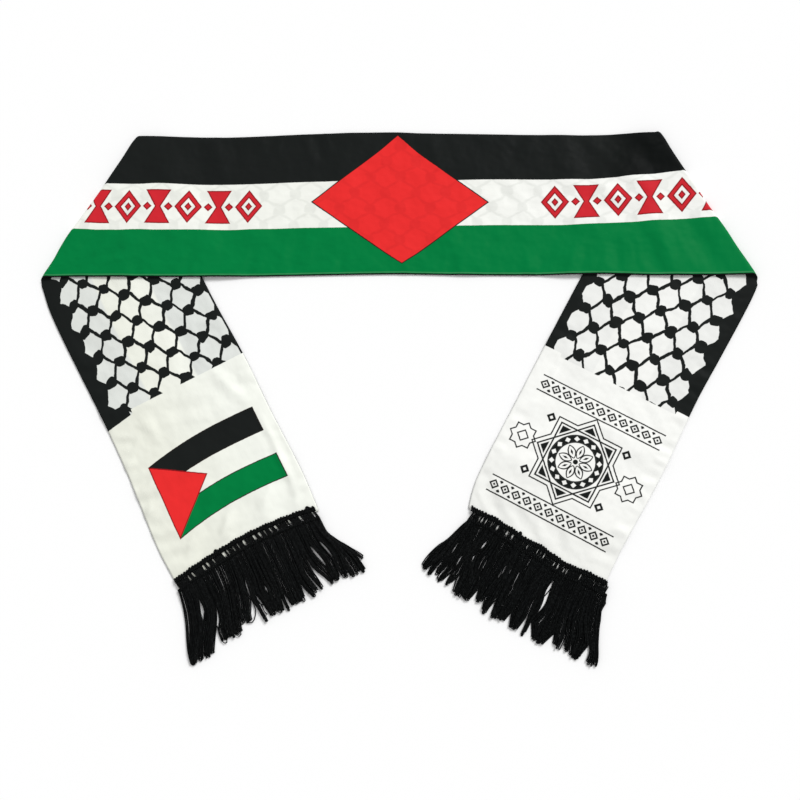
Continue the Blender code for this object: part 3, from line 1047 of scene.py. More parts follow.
def satin_group(sizes: WeaveSizes) -> Group:
    """Make the satin weave and its crumpling, shared by both plies.

    Args:
        sizes: the weave's sizes.

    Returns:
        The group, which gives a height in metres and a tone about 1 that holds thread streaks and painted shade
        darkening the crumpling's hollows.
    """
    group = Group("Satin weave", {"Vector": None, "Crumple": sizes.crumple_height}, ("Height", "Tone"))
    tree, vector = group.tree, group.entry.outputs["Vector"]
    crumple = noise(tree, vector, sizes.crumple_scale, 2.0)
    pucker = noise(tree, vector, sizes.pucker_scale)
    threads = thread_noise(tree, vector, sizes.thread_scale, 1.0)
    floats = thread_noise(tree, vector, sizes.float_scale, 0.0)
    height = crumple * group.read("Crumple") + pucker * (group.read("Crumple") * sizes.pucker_share)
    group.give("Height", height + threads * sizes.thread_height + floats * sizes.float_height)
    # The tone holds thread streaks and painted shade: darker where the crumpling is low, lighter where it is high
    group.give("Tone", threads * sizes.thread_tone + crumple * sizes.crumple_shade + 1.0)
    return group


@dataclass(frozen=True)
class NetSizes:
    """The printed net, in millimetres of the flat cloth."""

    pitch: float = 28.19
    rise: float = 15.4
    first_cell: float = -358.8
    first_row: float = 20.0
    last_row: float = 129.0
    cell_height: float = 10.3
    cell_side: float = 11.0
    slope: float = 0.58
    slant_share: float = 0.865
    bulge: float = 2.0
    bulge_height: float = 4.4
    bulge_power: float = 4.0
    bulge_limit: float = 1.6


def net_group(sizes: NetSizes) -> Group:
    """Make the knotted net as ink.

    Args:
        sizes: the net's sizes.

    Returns:
        The group, which reads the place along and across the flat cloth in millimetres.
    """
    group = Group("Knotted net", {"Along": 0.0, "Across": 0.0, "Spread": 0.0, "Soft": 0.2}, ("Ink",))
    along, across, spread = group.read("Along"), group.read("Across"), group.read("Spread")

    def cell(ax: Wire, ay: Wire) -> Wire:
        """Measure the distance out of a white cell.

        Args:
            ax: how far its centre is along.
            ay: how far its centre is across.

        Returns:
            The distance, negative inside.
        """
        slanted = (ax * sizes.slope + ay - sizes.cell_height) * sizes.slant_share
        flare = (ay / sizes.bulge_height).do("POWER", sizes.bulge_power).least(sizes.bulge_limit)
        waist = flare * -sizes.bulge + sizes.bulge
        return slanted.most(ax - sizes.cell_side + waist)

    ax = (along - sizes.first_cell).swing(sizes.pitch / 2)
    ay = (across - sizes.first_row).swing(sizes.rise)
    odd = cell(ax, ay).most(across - sizes.last_row)
    ax, ay = sizes.pitch / 2 - ax, sizes.rise - ay
    even = cell(ax, ay).most(sizes.first_row - across)
    ink = (odd.least(even) + spread) / (group.read("Soft") * 2.0)
    group.give("Ink", ink.do("ADD", 0.5, clamp=True))
    return group


@dataclass(frozen=True)
class Inks:
    """Colours of the cloth's print and of the yarn, linear; some of them are painted shade and painted highlights."""

    white: tuple = (0.868, 0.880, 0.822)
    dull_white: tuple = (0.800, 0.812, 0.722)
    clear_white: tuple = (0.915, 0.920, 0.888)
    shaded_white: tuple = (0.845, 0.850, 0.815)
    black: tuple = (0.0110, 0.0128, 0.0122)
    green: tuple = (0.0006, 0.1930, 0.0470)
    red: tuple = (0.8050, 0.0290, 0.0290)
    deep_red: tuple = (0.6000, 0.0220, 0.0320)
    dark_red: tuple = (0.2700, 0.0080, 0.0120)
    # painted highlight: the lighter line on the seam's ridge
    painted_seam_highlight: tuple = (0.0800, 0.3000, 0.1300)
    # painted shade: the black near the right fold
    painted_shade_black: tuple = (0.0040, 0.0050, 0.0048)
    outline: tuple = (0.0180, 0.0110, 0.0100)
    paler_white: tuple = (0.892, 0.912, 0.852)
    net_ghost: tuple = (0.34, 0.37, 0.33)
    left_ghost: tuple = (0.690, 0.715, 0.690)
    right_ghost: tuple = (0.690, 0.700, 0.690)
    yarn: tuple = (0.0009, 0.0011, 0.0012)
    # painted highlights on the yarn's fibres
    lit_yarn: tuple = (0.0130, 0.0150, 0.0150)


@dataclass
class PrintPlace:
    """Where a point lies on the flat cloth, in millimetres: true, and as strayed by the printing; and a slow noise."""

    along: Wire
    across: Wire
    strayed_along: Wire
    strayed_across: Wire
    patch: Wire


@dataclass
class SatinFinish:
    """A printed satin: the print is set by a subclass, the weave and gloss are shared."""

    inks: Inks
    weave: Group
    net: Group
    name: str = "satin"
    roughness: float = 0.45
    tone_roughness: float = 0.8
    specular: float = 0.025
    thread_scale: float = 420.0
    thread_rag: tuple = (0.5, 0.4)
    stray_scale: float = 74.0
    strays: tuple = (6.5, 6.0)
    chip_scale: float = 300.0
    patch_scale: float = 38.0

    def make(self) -> bpy.types.Material:
        """Build the material.

        Returns:
            The material, reading the map 'strip'.
        """
        material, tree, surface = new_material(self.name)
        place = tree.nodes.new("ShaderNodeUVMap")
        place.uv_map = "strip"
        vector = place.outputs[0]
        paint = Paint(tree, self.inks.white)
        self.draw(paint, self.print_place(tree, vector))
        woven = self.weave.place(tree, vector=vector)
        # The base colour is scaled by the weave's tone, which carries painted shade of the crumpling
        toned = tree.nodes.new("ShaderNodeVectorMath")
        toned.operation = "SCALE"
        tree.links.new(paint.colour, toned.inputs[0])
        tree.links.new(woven["Tone"].socket, toned.inputs["Scale"])
        tree.links.new(toned.outputs[0], surface.inputs["Base Color"])
        raise_surface(tree, surface, woven["Height"])
        rough = woven["Tone"] * self.tone_roughness + (self.roughness - self.tone_roughness)
        tree.links.new(rough.socket, surface.inputs["Roughness"])
        surface.inputs["Specular IOR Level"].default_value = self.specular
        return material

    def print_place(self, tree: bpy.types.NodeTree, vector: bpy.types.NodeSocket) -> PrintPlace:
        """Read the place on the flat cloth, with a ragged edge of half a thread, and a strayed copy of it.

        Args:
            tree: the material's tree.
            vector: the map 'strip'.

        Returns:
            The place, in millimetres.
        """
        parts = tree.nodes.new("ShaderNodeSeparateXYZ")
        tree.links.new(vector, parts.inputs[0])
        ragged = noise(tree, vector, self.thread_scale)
        true = [Wire(tree, parts.outputs[k]) * MM + ragged * self.thread_rag[k] for k in (0, 1)]
        stray, chip = noise_pair(tree, vector, self.stray_scale), noise_pair(tree, vector, self.chip_scale)
        strayed = [true[k] + stray[k] * self.strays[k] + chip[k] for k in (0, 1)]
        return PrintPlace(*true, *strayed, noise(tree, vector, self.patch_scale))

    def draw(self, paint: Paint, place: PrintPlace) -> None:
        """Lay the print's inks; each ply has its own."""
        raise NotImplementedError


@dataclass
class StripedSatin(SatinFinish):
    """Black, white and green stripes, a red lozenge and a row of red folk motifs on each side of it, in millimetres."""

    name: str = "striped_satin"
    green_line: float = 48.0
    black_line: float = 93.4
    # The black line at the green edge is partly painted shadow; beside it lies the painted highlight on the seam's
    # ridge
    seam_line: float = 1.0
    seam_highlight_line: float = 1.9
    seam_highlight_half: float = 0.45
    clear_run: float = 150.0
    # Where the painted shade on the black starts, and the run over which it deepens
    shade_start: float = 196.0
    shade_run: float = 30.0
    change: float = 0.8
    lozenge: tuple = ((-75.8, 73.5), (10.3, 10.4), (90.0, 70.7), (4.4, 137.7))
    lozenge_rim: float = 1.0
    motif_rim: float = 1.1
    motif_pitch: float = 28.5
    motif_centre: float = 70.8
    motif_half: float = 16.6
    motif_left: float = 120.0
    motif_right_step: float = 16.0
    motif_end: float = 392.0
    ring_half: float = 13.0
    ring_line: float = 0.76
    ring_width: float = 0.24
    ring_heart: float = 0.26
    ring_scale: float = 10.2
    glass_slope: float = 0.56
    glass_waist: float = 2.6
    pip_place: float = 9.8
    pip_half: float = 4.2

    def draw(self, paint: Paint, place: PrintPlace) -> None:
        """Lay the stripes, the motifs and the lozenge, with the net of the other ply showing faintly through, a painted
        highlight and a partly painted shadow along the seam, and painted shade on the black towards the right fold.

        Args:
            paint: the ply's colour so far.
            place: the place on the flat cloth.
        """
        along, across, patch = place.along, place.across, place.patch
        ghost = self.net.place(
            paint.tree, along=place.strayed_along, across=place.strayed_across, spread=-0.1, soft=0.7
        )["Ink"]
        # The white grows clearer towards the right end
        paint.lay(along.ramp(0.0, self.clear_run) * self.change, self.inks.clear_white)
        paint.lay(ghost * 0.15 + patch * 0.06, self.inks.net_ghost)
        motif = self.motif_distance(along, across)
        paint.lay(motif.inside(), self.inks.dark_red)
        paint.lay((motif + self.motif_rim).inside(), self.inks.deep_red)
        paint.lay((across - self.green_line).inside(), self.inks.green)
        black = (self.black_line - across).inside()
        paint.lay(black, self.inks.black)
        # Painted shade: the black stripe darkens towards the right fold
        paint.lay(black * along.ramp(self.shade_start, self.shade_run) * self.change, self.inks.painted_shade_black)
        # Painted highlight: a lighter green line on the seam's ridge, just inside the green edge
        paint.lay((abs(across - self.seam_highlight_line) - self.seam_highlight_half).inside(0.3) * 0.55, self.inks.painted_seam_highlight)
        # A black line along the green edge: partly the other ply's black border showing at the seam, partly painted
        # shadow under the edge
        paint.lay((across - self.seam_line).inside(), self.inks.black)
        out = polygon(along, across, self.lozenge)
        paint.lay(out.inside(), self.inks.outline)
        paint.lay((out + self.lozenge_rim).inside(), self.inks.red)
        paint.lay((out + 1.5 * self.lozenge_rim).inside(1.0) * (ghost * 0.12 + patch * 0.10), self.inks.dark_red)

    def motif_distance(self, along: Wire, across: Wire) -> Wire:
        """Measure the distance out of the folk motifs: hollow lozenges and hourglasses in turn.

        Args:
            along: the place along the cloth.
            across: the place across it.

        Returns:
            The distance, negative inside.
        """
        start = along.do("GREATER_THAN", 0.0) * self.motif_right_step + (self.motif_left + self.motif_pitch / 2)
        run = abs(along) - start
        step = (run / self.motif_pitch + 0.5).do("FLOOR")
        ax, ay = abs(run - step * self.motif_pitch), abs(across - self.motif_centre)
        ring = ax / self.ring_half + ay / self.motif_half
        lozenge = (abs(ring - self.ring_line) - self.ring_width).least(ring - self.ring_heart) * self.ring_scale
        glass = ((ax - ay * self.glass_slope - self.glass_waist) * 0.87).most(ay - self.motif_half)
        other = glass.least((abs(ax - self.pip_place) + ay - self.pip_half) * DIAGONAL)
        chosen = lozenge + (other - lozenge) * step.do("FLOORED_MODULO", 2.0)
        limits = (-self.motif_pitch / 2 - run).most(abs(along) - self.motif_end)
        return chosen.most(limits)


@dataclass
class NetSatin(SatinFinish):
    """The knotted net between black borders, a flag on one plain end and a rosette on the other, in millimetres."""

    name: str = "net_satin"
    left_corner: float = 331.3
    right_corner: float = 331.8
    left_end: float = 157.6
    left_border: float = 27.0
    right_end: float = 150.0
    border_short: float = 3.5
    middle_half: float = 56.0
    near_rim: float = 9.0
    far_rim: float = 134.6
    left_far_rim: float = 3.7
    corner_rim: tuple = (151.0, 25.0)
    right_drift: float = 2.5
    # Where the other ply's dark stripes show faintly through the white
    green_below: float = 47.0
    black_below: float = 94.0
    # The flag's stripes: first edge, last edge, fly end and rise of the bend; then its triangle and the rims of both
    flag_black: tuple = (206.6, 230.8, 126.6, 1.3)
    flag_green: tuple = (254.3, 277.8, 127.6, 2.0)
    hoist: tuple = ((213.0, 19.0), (284.4, 20.8), (242.4, 65.2))
    stripe_rim: float = 0.85
    hoist_rim: float = 0.95
    # The rosette's place, and half the width of its lines
    rosette: tuple = (228.0, 70.0)
    line: float = 0.60

    def draw(self, paint: Paint, place: PrintPlace) -> None:
        """Lay the ground, the net with its borders, the flag and the rosette.

        Args:
            paint: the ply's colour so far.
            place: the place on the flat cloth.
        """
        along, across = place.along, place.across
        left, right = -self.left_corner - along, along - self.right_corner
        on_left, on_right = left.do("GREATER_THAN", 0.0), right.do("GREATER_THAN", 0.0)
        left_line = left - self.left_end - (across - self.left_border).inside(0.3) * (across * -0.16 + 8.6)
        in_border = (self.middle_half - abs(across - 70.0)).inside(0.3)
        right_line = right - self.right_end + in_border * self.border_short
        left_net, right_net = left_line.inside(), right_line.inside()

        # The tails' white: duller and warmer on the left tail and paler towards its black edge, clearer on the right
        # tail
        paint.lay(left.ramp(-30.0, 60.0), self.inks.dull_white)
        paint.lay(across.ramp(32.0, 80.0) * left.ramp(-30.0, 60.0) * 0.8, self.inks.paler_white)
        paint.lay(right.ramp(-30.0, 60.0), self.inks.clear_white)
        paint.lay(right.ramp(225.0, 70.0), self.inks.shaded_white)
        below = (across - self.green_below).inside(1.0).most((self.black_below - across).inside(1.0))
        paint.lay(below * left_net * on_left * 0.85, self.inks.left_ghost)
        paint.lay((below * 0.24 + 0.14) * right_net * on_right, self.inks.right_ghost)

        # The net is drawn along near the left edge, and the printing slips on each tail
        pull = place.strayed_across.ramp(24.0, -12.0) * on_left * (8.0 - left * 0.03)
        slip = on_left * ((across - 20.0) * -0.016 - 1.6) + on_right * ((across - 20.0) * 0.023 - 1.2)
        net = self.net.place(
            paint.tree,
            along=place.strayed_along + pull,
            across=place.strayed_across + slip,
            spread=(place.patch * 6.0 - 0.6).most(0.06).least(1.0),
            soft=0.18,
        )["Ink"]
        rim = (across - self.near_rim).inside()
        rim = rim.most((on_left * self.left_far_rim + self.far_rim - across).inside())
        rim = rim.most((across - self.corner_rim[1]).most(self.corner_rim[0] - left).inside())
        paint.lay(net.most(rim) * left_net * right_net, self.inks.black)

        self.draw_flag(paint, left, across)
        self.draw_rosette(paint, right - self.rosette[0], across - (self.rosette[1] + self.right_drift))

    def draw_flag(self, paint: Paint, along: Wire, across: Wire) -> None:
        """Lay the flag, hoist towards the outer edge, its stripes bent as if waving.

        Args:
            paint: the ply's colour so far.
            along: the place along the tail, from its fold.
            across: the place across it.
        """
        bend = 1.0 - across.ramp(19.0, 76.0)
        bent = along - bend * bend * 6.0
        share = (across - 30.0) / 97.0
        arch = share * (1.0 - share) * 4.0
        for (start, end, fly, rise), ink in ((self.flag_black, self.inks.black), (self.flag_green, self.inks.green)):
            arched = bent + arch * rise
            stripe = (start - arched).most(arched - end).most(across - fly).most(along * 0.0252 + 13.7 - across)
            paint.lay(stripe.inside(), self.inks.outline)
            paint.lay((stripe + self.stripe_rim).inside(), ink)
        hoist = polygon(along, across, self.hoist)
        paint.lay(hoist.inside(), self.inks.dark_red)
        paint.lay((hoist + self.hoist_rim).inside(), self.inks.red)

    def draw_rosette(self, paint: Paint, along: Wire, across: Wire) -> None:
        """Lay an eight-pointed star rosette between two bands of small lozenges, in black.

        Args:
            paint: the ply's colour so far.
            along: the place along the tail, from the rosette's centre.
            across: the place across it.
        """
        radius = (along * along + across * across).do("SQRT")
        angle = along.do("ARCTAN2", across)
        lines = self.star_lines(abs(across), abs(along)).least(self.flower_lines(radius, angle))
        lines = lines.least(self.side_lines(abs(across), abs(along))).least(self.band_lines(across, along))
        paint.lay(lines.inside(0.22), self.inks.black)

    def star_lines(self, ax: Wire, ay: Wire) -> Wire:
        """Measure the distance out of the star: two squares, a filled tip on each point and an outer line.

        Args:
            ax: the distance across from its centre.
            ay: the distance along from it.

        Returns:
            The distance, negative inside.
        """
        square, turned = ax.most(ay), (ax + ay) * DIAGONAL
        nearer, farther = square.least(turned), square.most(turned)
        star = abs(square - 26.0).least(abs(turned - 26.0)) - 0.70
        tips = (nearer - 24.0).most(28.0 - farther)
        return star.least(tips).least(abs(nearer - 29.8) - self.line)

    def flower_lines(self, radius: Wire, angle: Wire) -> Wire:
        """Measure the distance out of the star's middle: eight petals with seeds, and a ring of beads.

        Args:
            radius: the distance from the centre.
            angle: the direction from it.

        Returns:
            The distance, negative inside.
        """
        turn = angle.swing(math.pi / 8)
        reach, aside = radius * turn.do("COSINE"), radius * turn.do("SINE")
        petal = aside + ((reach - 9.6) / 6.2).do("POWER", 2.0) * 3.1 - 3.1
        petals = (abs(petal) - self.line).most(reach - 16.0).most(3.4 - reach)
        seed = (aside + abs(reach - 9.6) * 0.34 - 1.0) * 0.94
        rings = (abs(radius - 17.6) - self.line).least(abs(radius - 23.6) - self.line).least(radius - 2.2)
        beads = (radius * angle.swing(math.pi / 16) * 0.9 + abs(radius - 20.6) - 2.3) * 0.74
        return petals.least(seed).least(rings).least((abs(radius - 20.6) - 2.7).most(0.0 - beads))

    def side_lines(self, ax: Wire, ay: Wire) -> Wire:
        """Measure the distance out of the small stars beside the rosette and the hollow lozenges off its corners.

        Args:
            ax: the distance across from the rosette's centre.
            ay: the distance along from it.

        Returns:
            The distance, negative inside.
        """
        near = abs(ax - 51.0)
        square, turned = near.most(ay), (near + ay) * DIAGONAL
        side = (abs(square.least(turned) - 8.6) - self.line).least(abs(turned - 3.6) - self.line)
        corner = abs(ax - 36.0) + abs(ay - 26.0)
        return side.least(((corner - 4.6) * DIAGONAL).most((corner - 1.7) * -DIAGONAL))

    def band_lines(self, across: Wire, along: Wire) -> Wire:
        """Measure the distance out of the two bands of small hollow lozenges between double lines.

        Args:
            across: the place across from the rosette's centre.
            along: the place along from it.

        Returns:
            The distance, negative inside.
        """
        ax, height, cell = abs(across), abs(abs(along) - 50.0), across.swing(5.4)
        lozenge = ((cell * 0.95 + height - 4.6) * 0.72).most((cell * 0.95 + height - 2.6) * -0.72)
        dots = (cell + height - 1.3) * DIAGONAL
        between = (((5.4 - cell) + abs(height - 4.4) - 1.8) * DIAGONAL).most(ax - 57.0)
        rows = lozenge.least(dots).least(between).most(height - 5.4)
        return rows.least(abs(height - 7.2) - self.line).most(ax - 59.0)


@dataclass(frozen=True)
class YarnFinish:
    """Twisted black yarn, matt, with painted highlights on some fibres."""

    inks: Inks
    name: str = "fringe_yarn"
    fibre_scale: float = 1500.0
    fibre_height: float = 0.00012
    lot_scale: float = 760.0
    lit_from: float = 0.85
    roughness: float = 0.55
    specular: float = 0.06

    def make(self) -> bpy.types.Material:
        """Build the material.

        Returns:
            The material, reading the piece's own place.
        """
        material, tree, surface = new_material(self.name)
        vector = tree.nodes.new("ShaderNodeTexCoord").outputs["Object"]
        fibres, lots = (
            Wire(tree, noise_node(tree, vector, scale, 1.0).outputs[0]) for scale in (self.fibre_scale, self.lot_scale)
        )
        paint = Paint(tree, self.inks.yarn)
        # Painted highlights: lighter specks where the fibre and lot noises are both high
        paint.lay((fibres * lots * 4.0).do("SUBTRACT", self.lit_from, clamp=True), self.inks.lit_yarn)
        tree.links.new(paint.colour, surface.inputs["Base Color"])
        raise_surface(tree, surface, fibres * self.fibre_height)
        surface.inputs["Roughness"].default_value = self.roughness
        surface.inputs["Specular IOR Level"].default_value = self.specular
        return material


@dataclass
class Cord:
    """One thread or cord: its points and its radius."""

    points: list[Vector]
    radius: float


@dataclass(frozen=True)
class Clump:
    """A bundle of fringe threads, in millimetres: rows of the place along, its green edge and its black edge."""

    rows: tuple
    loose: float = 0.45


@dataclass(frozen=True)
class FringeSizes:
    """One fringe: its header's ends, upper line and slits, its clumps, and single threads that stray."""

    seed: int
    ends: tuple[float, float]
    slopes: tuple[float, float]
    upper_across: tuple
    upper_places: tuple
    rung_pitch: float
    lean: float
    slits: tuple
    knots: tuple
    clumps: tuple
    strays: tuple


@dataclass
class Fringe:
    """A crocheted header with a ladder of slits, and long looped threads that lie in uneven clumps."""

    name: str
    fold: Fold
    sizes: FringeSizes
    material: bpy.types.Material
    thread: float = 0.00047
    loops_per_mm: float = 1.22
    floor: float = 0.00058
    layer_step: float = 0.00060
    layers: int = 4
    top: float = 0.0021
    top_share: float = 0.35
    fall_run: float = 0.34
    stations: int = 16
    # Where the threads start below the upper line and how far their tips fall short, in millimetres
    root_below: float = 9.6
    shortfall: float = 4.6
    rounding: float = 1.2
    # The header's height, the radii of its cords and where they run, from the upper line
    header_z: float = 0.0027
    chain_radius: float = 0.00056
    knot_radius: float = 0.00075
    rung_radius: float = 0.00050
    core_lines: tuple = (0.0012, 0.0020, 0.0028, 0.0036, 0.0109, 0.0116, 0.0122)
    pair_lines: tuple = ((0.0016, 0.0), (0.0033, 1.7), (0.0114, 0.8))
    pair_turn: float = 0.0043
    picot_turn: float = 0.0026
    rung_top: float = 0.0036
    rung_step: float = 0.0016
    end_gap: float = 0.0004
    rng: random.Random = field(default_factory=random.Random)

    def __post_init__(self) -> None:
        """Seed the fringe's own draws."""
        self.rng.seed(self.sizes.seed)

    def point(self, place: float, across: float, z: float) -> Vector:
        """A point of the fringe, from its place along and across the tail."""
        plan = self.fold.green + place * self.fold.along + across * self.fold.across
        return Vector((plan[0] + MIDDLE[0], plan[1] + MIDDLE[1], z))

    def upper_line(self, across: float) -> float:
        """The place along the tail of the header's upper line."""
        return float(smooth_table(self.sizes.upper_across, self.sizes.upper_places, np.array(across)))

    def header_row(self, below: float, steps: int) -> list[float]:
        """Place points across the header, from its green end to its black one.

        Args:
            below: their distance below its upper line.
            steps: how many steps they make.

        Returns:
            Their places across the tail.
        """
        start, end = (e + slope * below for e, slope in zip(self.sizes.ends, self.sizes.slopes))
        return [start + (end - start) * k / steps for k in range(steps + 1)]

    def header_point(self, below: float, across: float, z: float) -> Vector:
        """A point at a distance below the header's upper line."""
        return self.point(self.upper_line(across) + below, across, z)

    def header_cords(self) -> list[Cord]:
        """Lay the header's chains: core cords, twisted pairs over them, small loops on the upper line and knots.

        Returns:
            The cords.
        """
        cords = []
        for below in self.core_lines:
            points = [
                self.header_point(below + 0.0002 * math.sin(900 * t + below * 9e3), t, self.header_z)
                for t in self.header_row(below, 110)
            ]
            cords.append(Cord(points, self.chain_radius))
        for below, phase in self.pair_lines:
            for turn in (0.0, math.pi):
                points = []
                for t in self.header_row(below, 290):
                    angle = 2 * math.pi * t / self.pair_turn + phase + turn + 0.7 * math.sin(230 * t)
                    z = self.header_z + 0.0006 + 0.0004 * math.sin(angle)
                    points.append(self.header_point(below + 0.0008 * math.cos(angle), t, z))
                cords.append(Cord(points, self.chain_radius))
        points = []
        for t in self.header_row(0.0, 440):
            swing = 0.0006 * math.sin(2 * math.pi * t / self.picot_turn + 1.6 * math.sin(190 * t))
            swing += 0.0003 * math.sin(430 * t) + 0.0002 * math.sin(1300 * t)
            points.append(self.header_point(0.0006 - swing, t, self.header_z + 0.0002))
        cords.append(Cord(points, self.chain_radius))
        for middle, width, rise in self.sizes.knots:
            points = [
                self.header_point(0.0012 - rise * math.sin(a), middle - width / 2 * math.cos(a), self.header_z + 0.0003)
                for a in (k * math.pi / 8 for k in range(9))
            ]
            cords.append(Cord(points, self.knot_radius))
        return cords

    def rungs(self) -> list[Cord]:
        """Lay the ladder between the chains: short threads side by side, parted where the slits are.

        Returns:
            The threads.
        """
        first, last = self.header_row(0.0075, 1)
        first, last = first + self.end_gap, last - self.end_gap
        spans, start = [], first
        for middle, width in self.sizes.slits:
            spans.append((start, middle - width / 2))
            start = middle + width / 2
        spans.append((start, last))
        cords = []
        for start, end in spans:
            count = max(1, round((end - start) / self.sizes.rung_pitch))
            for k in range(count):
                middle = start + (end - start) * (k + 0.5) / count
                lean = self.sizes.lean + self.rng.uniform(-0.00015, 0.00015)
                points = []
                for n in range(6):
                    across = min(max(middle + lean * (n - 2.5), first), last)
                    z = self.header_z + 0.0005 * math.sin(math.pi * n / 5)
                    points.append(self.header_point(self.rung_top + self.rung_step * n, across, z))
                cords.append(Cord(points, self.rung_radius))
        return cords

    def strand(self, clump: Clump, share: float, aside: float, reach: float, layer: float) -> list:
        """Stations of one strand from under the header to its tip.

        Args:
            clump: the clump that it belongs to.
            share: where it lies between the clump's edges, 0 to 1.
            aside: how far it stands off that at its tip, in millimetres.
            reach: the place along the tail of its tip, in millimetres.
            layer: its height above the surface where it lies.

        Returns:
            Place along, place across and height at each station.
        """
        places, green, black = zip(*clump.rows)
        root = green[0] + (black[0] - green[0]) * share
        start = self.upper_line(root / MM) * MM + self.root_below
        along = np.linspace(start, reach, self.stations)
        run = np.linspace(0.0, 1.0, self.stations)
        low, high = smooth_table(places, green, along), smooth_table(places, black, along)
        wave, phase, turns = self.rng.uniform(0.1, clump.loose * 2), self.rng.uniform(0, 6.28), self.rng.uniform(2, 5)
        across = low + (high - low) * share + aside * run + wave * np.sin(phase + turns * run) * run
        top = self.top + self.top_share * layer
        height = top + (layer - top) * smooth_step(run / self.fall_run)
        return [(a / MM, t / MM, z) for a, t, z in zip(along, across, height)]

    def threads(self) -> list[Cord]:
        """Lay the long threads, each a loop out and back within its clump, and the stray ones.

        Returns:
            The threads.
        """
        cords = []
        for clump in self.sizes.clumps:
            width = max(black - green for _, green, black in clump.rows)
            count = max(3, round(width * self.loops_per_mm) + 1)
            for k in range(count):
                share = min(max((k + self.rng.uniform(-0.35, 0.35)) / (count - 1), 0.0), 1.0)
                reach = clump.rows[-1][0] - self.rng.uniform(0.0, self.shortfall) - self.rounding * (2 * share - 1) ** 2
                layer = self.floor + self.layer_step * self.rng.randrange(self.layers) + self.rng.uniform(0, 0.0002)
                cords.append(self.loop(clump, share, reach, layer))
        for stray in self.sizes.strays:
            points = [self.point(a / MM, t / MM, 0.0022 - 0.0009 * k / len(stray)) for k, (a, t) in enumerate(stray)]
            cords.append(Cord(points, self.thread))
        return cords

    def loop(self, clump: Clump, share: float, reach: float, layer: float) -> Cord:
        """Lay one thread out to its tip, round, and back beside itself.

        Args:
            clump: the clump that it belongs to.
            share: where it lies between the clump's edges, 0 to 1.
            reach: the place along the tail of its tip, in millimetres.
            layer: its height above the surface.

        Returns:
            The thread.
        """
        gap = self.rng.uniform(0.2, 0.75)
        out = self.strand(clump, share, -gap, reach, layer)
        back = self.strand(clump, share, gap, reach, layer + 0.0002)
        end, home = out[-1], back[-1]
        middle, half = (end[1] + home[1]) / 2, abs(home[1] - end[1]) / 2 + 0.0002
        way = 1 if home[1] > end[1] else -1
        bow = [
            (end[0] + 0.9 * half * math.sin(a) + 0.0004, middle - way * half * math.cos(a), end[2] + 0.0001)
            for a in (0.5, math.pi / 2, math.pi - 0.5)
        ]
        points = [self.point(*row) for row in out + bow + back[::-1]]
        return Cord(points, self.thread * self.rng.uniform(0.92, 1.08))

    def tubes(self, cords: list[Cord]) -> bpy.types.Mesh:
        """Give cords their thickness, with six sides and closed ends.

        Args:
            cords: the cords.

        Returns:
            One mesh of all.
        """
        curve = bpy.data.curves.new(self.name, "CURVE")
        curve.dimensions = "3D"
        curve.bevel_depth = 1.0
        curve.bevel_resolution = 1
        curve.use_fill_caps = True
        for cord in cords:
            spline = curve.splines.new("POLY")
            spline.points.add(len(cord.points) - 1)
            spline.points.foreach_set("co", [c for p in cord.points for c in (*p, 1.0)])
            spline.points.foreach_set("radius", [cord.radius] * len(cord.points))
        holder = add_object(self.name, curve)
        seen = holder.evaluated_get(bpy.context.evaluated_depsgraph_get())
        mesh = bpy.data.meshes.new_from_object(seen)
        bpy.data.objects.remove(holder)
        bpy.data.curves.remove(curve)
        return mesh

    def build(self) -> bpy.types.Object:
        """Make the fringe from its header and its threads.

        Returns:
            The fringe's object.
        """
        bm = bmesh.new()
        tubes = self.tubes(self.header_cords() + self.rungs() + self.threads())
        bm.from_mesh(tubes)
        bpy.data.meshes.remove(tubes)
        bmesh.ops.remove_doubles(bm, verts=bm.verts, dist=1e-7)
        bmesh.ops.recalc_face_normals(bm, faces=bm.faces)
        return add_object(self.name, finished_mesh(self.name, bm, self.material))


